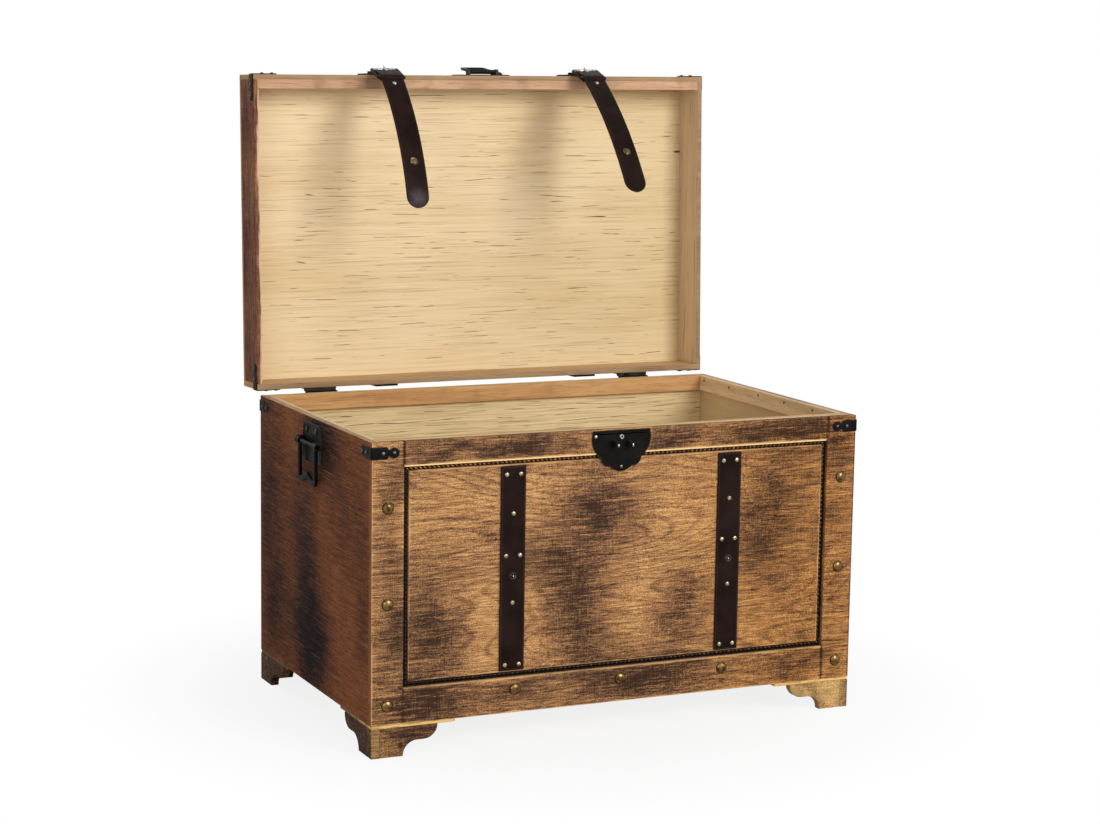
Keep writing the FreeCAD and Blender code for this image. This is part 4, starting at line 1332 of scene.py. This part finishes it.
def dress_lid_plate():
    """The lock plate on the lid, the two ears that hold the hasp's pin, and the pin."""
    ear_width, ear_radius, ear_foot, ease, rim_gap = 0.005, 0.0042, 0.0007, 0.0006, 0.001
    tab = eared_tab(ear_radius, ear_radius + ear_foot)
    edges = eased_rims(ear_width, ease)
    solids = [half_moon(rim + rim_gap, 1)]
    for start in (-hasp_half - ear_gap - ear_width, hasp_half + ear_gap):
        solids.append(plate(tab, hasp_pivot + start * X, Y, Z, edges))
    boss_out, boss_up = 0.0335, 0.028
    boss = (latch_centre + boss_out, front_face - latch_thick, rim + boss_up)
    solids.append(lathed(boss, -Y, dome_profile(0.010, 0.005))._replace(finish=1))
    add_piece(
        "lid_latch_plate_stamped", "lid", ["lid_latch_plate"], solids, [iron, leather],
        lid=True,
    )
    reach = hasp_half + ear_gap + ear_width
    places = np.array([-1, -0.99, -0.9, 0.9, 0.99, 1]) * reach
    radii = np.array([0.9, 1.5, 1.6, 1.6, 1.5, 0.9]) * millimetre
    pin = straight_bar(hasp_pivot, X, places, radii, Z)
    add_piece("hasp_pin_turned", "lid", ["hasp_pin"], [pin], [steel], lid=True)


def dress_hasp():
    """The hasp: a flat rounded loop and the barrel that turns on the pin, swung back on the lid."""
    bar, thick, length, barrel_radius = 0.0052, 0.0036, 0.0425, 0.0034
    flat = rounded_loop(hasp_half - bar / 2, (length - bar) / 2, 0.004)
    path = hasp_pivot + flat[:, :1] * X + (flat[:, 1:] - length / 2) * Z
    loop = swept(path, Y, thick / 2, bar / 2, 0.0009, closed=True)
    places = np.array([-1, -0.985, -0.9, 0.9, 0.985, 1]) * hasp_half
    radii = np.array([0.8, 1, 1, 1, 1, 0.8]) * barrel_radius
    barrel = straight_bar(hasp_pivot, X, places, radii, Z, around=18)
    lean_back = 4.0
    swing = -math.radians(joints["hasp_swing"]["range_deg"][1] + lean_back)
    solids = [s._replace(points=turned(s.points, hasp_pivot, swing)) for s in (loop, barrel)]
    add_piece("hasp_loop", "hasp", ["hasp"], solids, [iron], lid=True)


def dress_hinges():
    """Butt hinges on the back: a leaf and a long knuckle on the box, a hemmed leaf on the lid."""
    screw = dome_profile(0.0034, 0.0009, flange=0.3)
    leaf_thick, drop, knuckle, web_gap, end_gap, step = 0.0025, 0.032, 0.0036, 0.0006, 0.0003, 0.02
    hem_thick, hem_height, web_up, lid_share, lap = 0.0056, 0.009, 0.003, 0.16, 0.0002
    pin_end = np.array([0.0002, 0.0006, 0.002])
    pin_radii = np.array([1.0, 1.6, 1.6, 1.6, 1.6, 1.0]) * millimetre
    screw_places = ((0.18, 0.022), (0.5, 0.014), (0.82, 0.022))
    pins = []
    for side in ("left", "right"):
        node = "hinge_leaf_" + side
        low, high = span(node)
        width = high[0] - low[0]
        lid_end = lid_share * width
        axis = np.array([low[0], hinge_axis[1], hinge_axis[2]])
        behind = back_face + leaf_thick

        def roll(start, run):
            """A piece of the knuckle: a round bar with eased ends."""
            places = np.array([0, 0.03, 0.97, 1]) * run + start
            radii = np.array([0.92, 1, 1, 0.92]) * knuckle
            return straight_bar(axis, X, places, radii, Z, around=18)

        def flat(start, end, corner_low, corner_high):
            """A flat of the leaf between two places across it."""
            low_corner, high_corner = (low[0] + start, *corner_low), (low[0] + end, *corner_high)
            return board(low_corner, high_corner, 0, arris=0.0004, step=step)

        box_leaf = [flat(0, width, (back_face, axis[2] - drop), (behind, axis[2] - web_gap))]
        web = flat(lid_end + end_gap, width, (back_face, axis[2] - knuckle), (axis[1], axis[2]))
        box_leaf += [roll(lid_end + end_gap, width - lid_end - end_gap), web]
        lid_leaf = [
            roll(0, lid_end),
            flat(0, width, (back_face, rim), (behind, rim + drop)),
            flat(lap, width - lap, (back_face + lap, rim + lap), (back_face + hem_thick, rim + hem_height)),
            flat(0, lid_end, (back_face + web_gap, axis[2]), (axis[1], rim + web_up)),
        ]
        for share, down in screw_places:
            x = low[0] + share * width
            box_leaf.append(lathed((x, behind, axis[2] - down), Y, screw))
            lid_leaf.append(lathed((x, behind, rim + down), Y, screw))
        add_piece(node + "_iron", "chest", [node], box_leaf, [iron])
        node = "lid_" + node
        add_piece(node + "_iron", "lid", [node], lid_leaf, [iron], lid=True)
        pin_places = np.concatenate([pin_end, width - pin_end[::-1]])
        pins.append(straight_bar(axis, X, pin_places, pin_radii, Z))
    add_piece("hinge_pins_turned", "chest", ["hinge_pins"], pins, [iron])


def dress_handles():
    """Drop handles on both sides: a bevelled plate with two ears, and a bail that hangs in them."""
    pivot = np.array(joints["handle_left_swing"]["pos_m"])
    thick, top, height, half, half_top = 0.002, box_top - 0.008, 0.057, 0.040, 0.036
    shoulder = pivot[2] - (top - height)
    low_round, top_round, rivet_out, rivet_down = 0.005, 0.006, 0.019, 0.010
    outline = np.concatenate([
        arc((-half + low_round, low_round), low_round, 180, 270, 5),
        arc((half - low_round, low_round), low_round, 270, 360, 5),
        [(half, shoulder)],
        arc((half_top - top_round, height - top_round), top_round, 20, 90, 5),
        arc((-half_top + top_round, height - top_round), top_round, 90, 160, 5),
        [(-half, shoulder)],
    ])
    origin = (-half_width, pivot[1], top - height)
    edges = ((0, 0), (0, 0.0012), (0.0008, thick), (0.004, thick), (0.0046, thick - 0.0004))
    plates = [plate(outline, origin, -Y, Z, edges)]
    ear_radius, ear_foot, ear_width, near, ease = 0.0055, 0.0075, 0.006, 0.0375, 0.0006
    ear = eared_tab(ear_radius, ear_foot)
    for start in (-near, near + ear_width):
        plates.append(plate(ear, pivot + start * Y, X, Z, eased_rims(ear_width, ease)))
    bail = bail_solids(pivot)
    oblong = np.array([1.0, 0.75, 1.45])
    rivets = []
    for sign in (-1, 1):
        seat = np.array([-half_width - thick, pivot[1] + sign * rivet_out, top - rivet_down])
        head = lathed(seat, -X, small_nail)
        rivets.append(head._replace(points=seat + (head.points - seat) * oblong, finish=1))
    for side in ("left", "right"):
        twins = {"plate": plates + rivets, "bail": bail}
        if side == "right":
            twins = {key: [side_twin(s) for s in solids] for key, solids in twins.items()}
        node = "handle_plate_" + side
        add_piece(node + "_iron", "chest", [node], twins["plate"], [iron, dull_steel])
        node = "handle_" + side
        add_piece(node + "_bail", node, [node], twins["bail"], [iron])


def bail_solids(pivot):
    """A bail of flat bar: down one leg, along a grip that rises to a cusp, up the other leg.

    Half of the path is a leg, a round corner and a slope that steepens towards the middle.
    """
    half, leg, fall, cusp, thick, eye, corner = 0.037, 0.008, 0.0585, 0.009, 0.005, 0.005, 0.006
    eye_ease, pin_out = 0.0005, 0.0065
    out = half - leg / 2
    low = -fall + leg / 2
    down = np.stack([np.full(7, -out), np.linspace(-0.002, low + corner, 7)], 1)
    bent = arc((-out + corner, low + corner), corner, 180, 262, 8)[1:]
    share = np.linspace(0.12, 1, 12)[1:]
    slope = np.stack([(-out + corner) * (1 - share), low + cusp * share ** 1.6], 1)
    side = np.concatenate([down, bent, slope])
    flat = np.concatenate([side, side[-2::-1] * (-1, 1)])
    path = pivot + flat[:, :1] * Y + flat[:, 1:] * Z
    solids = [swept(path, X, thick / 2, leg / 2, 0.0014)]
    for sign in (-1, 1):
        places = sign * np.array([half - leg, half - leg + eye_ease, half - eye_ease, half])
        radii = np.array([0.9, 1, 1, 0.9]) * eye
        solids.append(straight_bar(pivot, Y, places, radii, X, around=20))
    places = np.array([-1, -0.985, 0.985, 1]) * (half + pin_out)
    radii = np.array([2.4, 2.95, 2.95, 2.4]) * millimetre
    solids.append(straight_bar(pivot, Y, places, radii, X, around=18))
    return solids


buckle_length = 0.036
buckle_lean = math.radians(19.0)
ahead = np.array([0, -math.cos(buckle_lean), -math.sin(buckle_lean)])
raised = np.cross(ahead, X)
tongue_leans = {"left": (42.0, 76.0), "right": (34.5, 57.5)}
tongue_lengths = {"left": 0.222, "right": 0.231}
tongue_half = 0.0175
tongue_thick = 0.0032


def dress_buckles():
    """Buckles on the lid straps: a frame of round bar, a sleeve on its rear bar and a prong."""
    bar, side_gap, sleeve_gap = 0.002, 0.0005, 0.001
    half = band_half + side_gap + bar
    flat = rounded_loop(half, buckle_length / 2, 0.0032)
    prong_path = np.array([
        (0.014, 0.0), (0.012, 0.0020), (0.009, 0.0032), (0.004, 0.0034), (0.0, 0.0036), (-0.003, 0.0042),
        (-0.0044, 0.0048),
    ])
    prong_radii = np.array([1.4, 1.4, 1.4, 1.3, 1.2, 0.9, 0.4]) * millimetre
    sleeve_places = np.array([-1, -0.98, 0.98, 1]) * (half - bar - sleeve_gap)
    sleeve_radii = np.array([2.1, 2.3, 2.3, 2.1]) * millimetre
    for side in strap_sides:
        body = "strap_" + side
        node = "buckle_" + side
        pivot = np.array(joints[body + "_hang"]["pos_m"])
        path = pivot + flat[:, :1] * X + (flat[:, 1:] + buckle_length / 2) * ahead
        frame_bar = round_bar(path, bar, raised, closed=True)
        add_piece(node + "_frame", body, [node], [frame_bar], [iron])
        sleeve = straight_bar(pivot, X, sleeve_places, sleeve_radii, raised)
        prong_line = pivot + prong_path[:, :1] * ahead + prong_path[:, 1:] * raised
        prong = round_bar(prong_line, prong_radii, X)
        add_piece(node + "_prong", body, [], [sleeve, prong], [steel])
        dress_tongue(side, body, pivot + buckle_length * ahead)


def dress_tongue(side, body, start):
    """A tongue on an arc from its first lean to its last, its roll round the bar and its studs.

    Half its width is constant and then the half chord of the round tip.
    """
    roll_radius, roll_wider, roll_half, roll_ease = 0.0036, 0.0009, 0.0012, 0.0009
    sheen_radius, sheen_past, rivet_place, cap_from_tip = 0.0165, 0.003, 0.013, 0.0705
    first, last = np.radians(tongue_leans[side])
    length = tongue_lengths[side]
    radius = length / (last - first)
    nose = length - tongue_half
    tip = nose + tongue_half * np.sin(np.radians(np.linspace(0, 88, 16)))
    place = np.concatenate([np.linspace(0, nose, 40)[:-1], tip])
    chord = np.sqrt(np.maximum(tongue_half ** 2 - (place - nose) ** 2, 1e-8))
    half = np.where(place < nose, tongue_half, chord)

    def outward(angle):
        """The direction from the arc's centre at an angle from upright."""
        return np.stack([0 * angle, -np.sin(angle), np.cos(angle)], axis=-1)

    centre = start - radius * outward(first)
    path = centre + radius * outward(first + place / radius)
    crown = (-1, -0.93, -0.6, -0.2, 0.2, 0.6, 0.93, 1)
    tongue = swept(path, X, half, tongue_thick / 2, 0.0011, cross_rows=crown)
    turn = np.radians(np.linspace(90, -150, 16))[:, None]
    around = start + roll_radius * (np.cos(turn) * ahead + np.sin(turn) * raised)
    flap = np.array([(0.030, 0.0012), (0.024, 0.0016), (0.016, 0.0026), (0.008, 0.0034)])
    flap_path = start - flap[:, :1] * ahead + flap[:, 1:] * raised
    roll_path = np.concatenate([flap_path, around])
    roll = swept(roll_path, X, tongue_half + roll_wider, roll_half, roll_ease, cross_rows=crown)
    tip_centre = centre + radius * outward(first + (nose + sheen_past) / radius)

    def painted_tip_sheen(points):
        """A painted sheen on the left tongue's tip, less and less away from its middle."""
        near = np.clip(1.1 - np.linalg.norm(points - tip_centre, axis=1) / sheen_radius, 0, 1)
        return near * (side == "left")

    add_piece(
        "tongue_" + side + "_leather", body, ["tongue_" + side], [tongue, roll], [leather],
        burn_and_painted_light=painted_tip_sheen,
    )
    cap = ((0.0065, 0), (0.0065, 0.0009), (0.0058, 0.0014), (0.0047, 0.0012), (0.0042, 0.0016))
    cap += ((0.0034, 0.0021), (0.002, 0.0022), (0.0004, 0.0022))
    studs = []
    for where, profile, finish in ((rivet_place, small_nail, 1), (length - cap_from_tip, cap, 0)):
        normal = outward(first + where / radius)
        head = lathed(centre + (radius + tongue_thick / 2) * normal, normal, profile)
        studs.append(head._replace(finish=finish))
    node = "tongue_studs_" + side
    add_piece(node + "_turned", body, [node], studs, [old_brass, steel])


dress_lid()
lid_band_middle = rim + 0.0105
add_piece(
    "lid_corner_bands_bent", "lid", ["lid_corner_bands"],
    four_corners([corner_band(lid_band_middle)]), [iron], lid=True,
)
lid_nails = dress_lid_straps() + four_corners(corner_band_nails(lid_band_middle))
nail_finishes = [brass, pale_brass, steel, dull_steel]
add_piece("lid_nails_brass", "lid", ["lid_nails"], lid_nails, nail_finishes, lid=True)
add_piece("chest_nails_brass", "chest", ["chest_nails"], chest_nails, nail_finishes)
dress_lid_plate()
dress_hasp()
dress_hinges()
dress_handles()
dress_buckles()


# Light, floor and camera

camera_place = (-1.55847, -3.39832, 0.98263)
camera_yaw, camera_pitch, camera_roll = (math.radians(a) for a in (24.8226, 8.5814, 0.8459))
focal_pixels = 2538.0
picture_width = 1100
sensor_width = 36.0


def placed(name, data, right, up, back, place):
    """An object of the stage that looks against its back direction from a place."""
    matrix = np.eye(4)
    matrix[:3, :3] = np.stack([right, up, back], axis=1)
    matrix[:3, 3] = place
    item = bpy.data.objects.new(name, data)
    item.matrix_world = Matrix(matrix.tolist())
    bpy.context.scene.collection.objects.link(item)
    return item


def make_camera():
    """A camera that looks along its yaw and pitch, rolled about its own line of sight."""
    level = math.cos(camera_pitch)
    sight = np.array([
        math.sin(camera_yaw) * level, math.cos(camera_yaw) * level, -math.sin(camera_pitch),
    ])
    right = np.array([math.cos(camera_yaw), -math.sin(camera_yaw), 0.0])
    up = np.cross(right, sight)
    rolled_right = math.cos(camera_roll) * right + math.sin(camera_roll) * up
    rolled_up = math.cos(camera_roll) * up - math.sin(camera_roll) * right
    data = bpy.data.cameras.new("camera")
    data.sensor_width = sensor_width
    data.lens = focal_pixels / picture_width * sensor_width
    bpy.context.scene.camera = placed("camera", data, rolled_right, rolled_up, -sight, camera_place)


def make_lamp(name, place, target, size, power):
    """A square soft light that faces a target."""
    data = bpy.data.lights.new(name, "AREA")
    data.size = size
    data.energy = power
    back = np.array(place, float) - target
    back /= np.linalg.norm(back)
    side = np.cross(Z, back)
    side /= np.linalg.norm(side)
    placed(name, data, side, np.cross(back, side), back, place)


def make_world(ambient):
    """White where the camera or a reflection looks, and a softer even light for everything else."""
    world = bpy.data.worlds.new("studio")
    bpy.context.scene.world = world
    world.use_nodes = True
    tree = world.node_tree
    tree.nodes.clear()
    path = tree.nodes.new("ShaderNodeLightPath")
    seen = path.outputs["Is Camera Ray"]
    for other in ("Is Glossy Ray", "Is Transmission Ray"):
        either = tree.nodes.new("ShaderNodeMath")
        either.operation = "MAXIMUM"
        tree.links.new(seen, either.inputs[0])
        tree.links.new(path.outputs[other], either.inputs[1])
        seen = either.outputs[0]
    strength = tree.nodes.new("ShaderNodeMapRange")
    tree.links.new(seen, strength.inputs["Value"])
    strength.inputs["To Min"].default_value = ambient
    background = tree.nodes.new("ShaderNodeBackground")
    background.inputs["Color"].default_value = (1, 1, 1, 1)
    tree.links.new(strength.outputs[0], background.inputs["Strength"])
    output = tree.nodes.new("ShaderNodeOutputWorld")
    tree.links.new(background.outputs[0], output.inputs["Surface"])


def make_floor():
    """A pale floor: white to the camera, but round the object enough is left to show its shadow."""
    reach, shadow_start, shadow_end, near_whiteness = 40.0, 0.3, 0.75, 0.84
    corners = [(-reach, -reach, 0), (reach, -reach, 0), (reach, reach, 0), (-reach, reach, 0)]
    mesh = bpy.data.meshes.new("floor")
    mesh.from_pydata(corners, [], [(0, 1, 2, 3)])
    floor = bpy.data.objects.new("floor", mesh)
    bpy.context.scene.collection.objects.link(floor)
    finish = Finish("pale_floor")
    path = finish.add("LightPath")
    pale = finish.add("BsdfDiffuse")
    pale.inputs["Color"].default_value = (0.85, 0.85, 0.85, 1)
    white = finish.add("Emission")
    away = finish.add("VectorMath", operation="LENGTH")
    finish.feed(away.inputs[0], finish.place)
    whiteness = finish.ramp(away.outputs["Value"], shadow_start, shadow_end, near_whiteness, 1.0)
    mixed = finish.add("MixShader")
    finish.feed(mixed.inputs[0], finish.math("MULTIPLY", path.outputs["Is Camera Ray"], whiteness))
    finish.feed(mixed.inputs[1], pale.outputs[0])
    finish.feed(mixed.inputs[2], white.outputs[0])
    output = finish.add("OutputMaterial")
    finish.feed(output.inputs["Surface"], mixed.outputs[0])
    mesh.materials.append(finish.material)


make_camera()
make_lamp("key", place=(1.35, -3.5, 2.0), target=(0, 0, 0.45), size=1.6, power=95.0)
make_lamp("fill", place=(-2.4, -2.6, 1.3), target=(0, 0, 0.5), size=1.6, power=22.0)
make_world(ambient=0.4)
make_floor()
bpy.context.scene.view_settings.view_transform = "Standard"
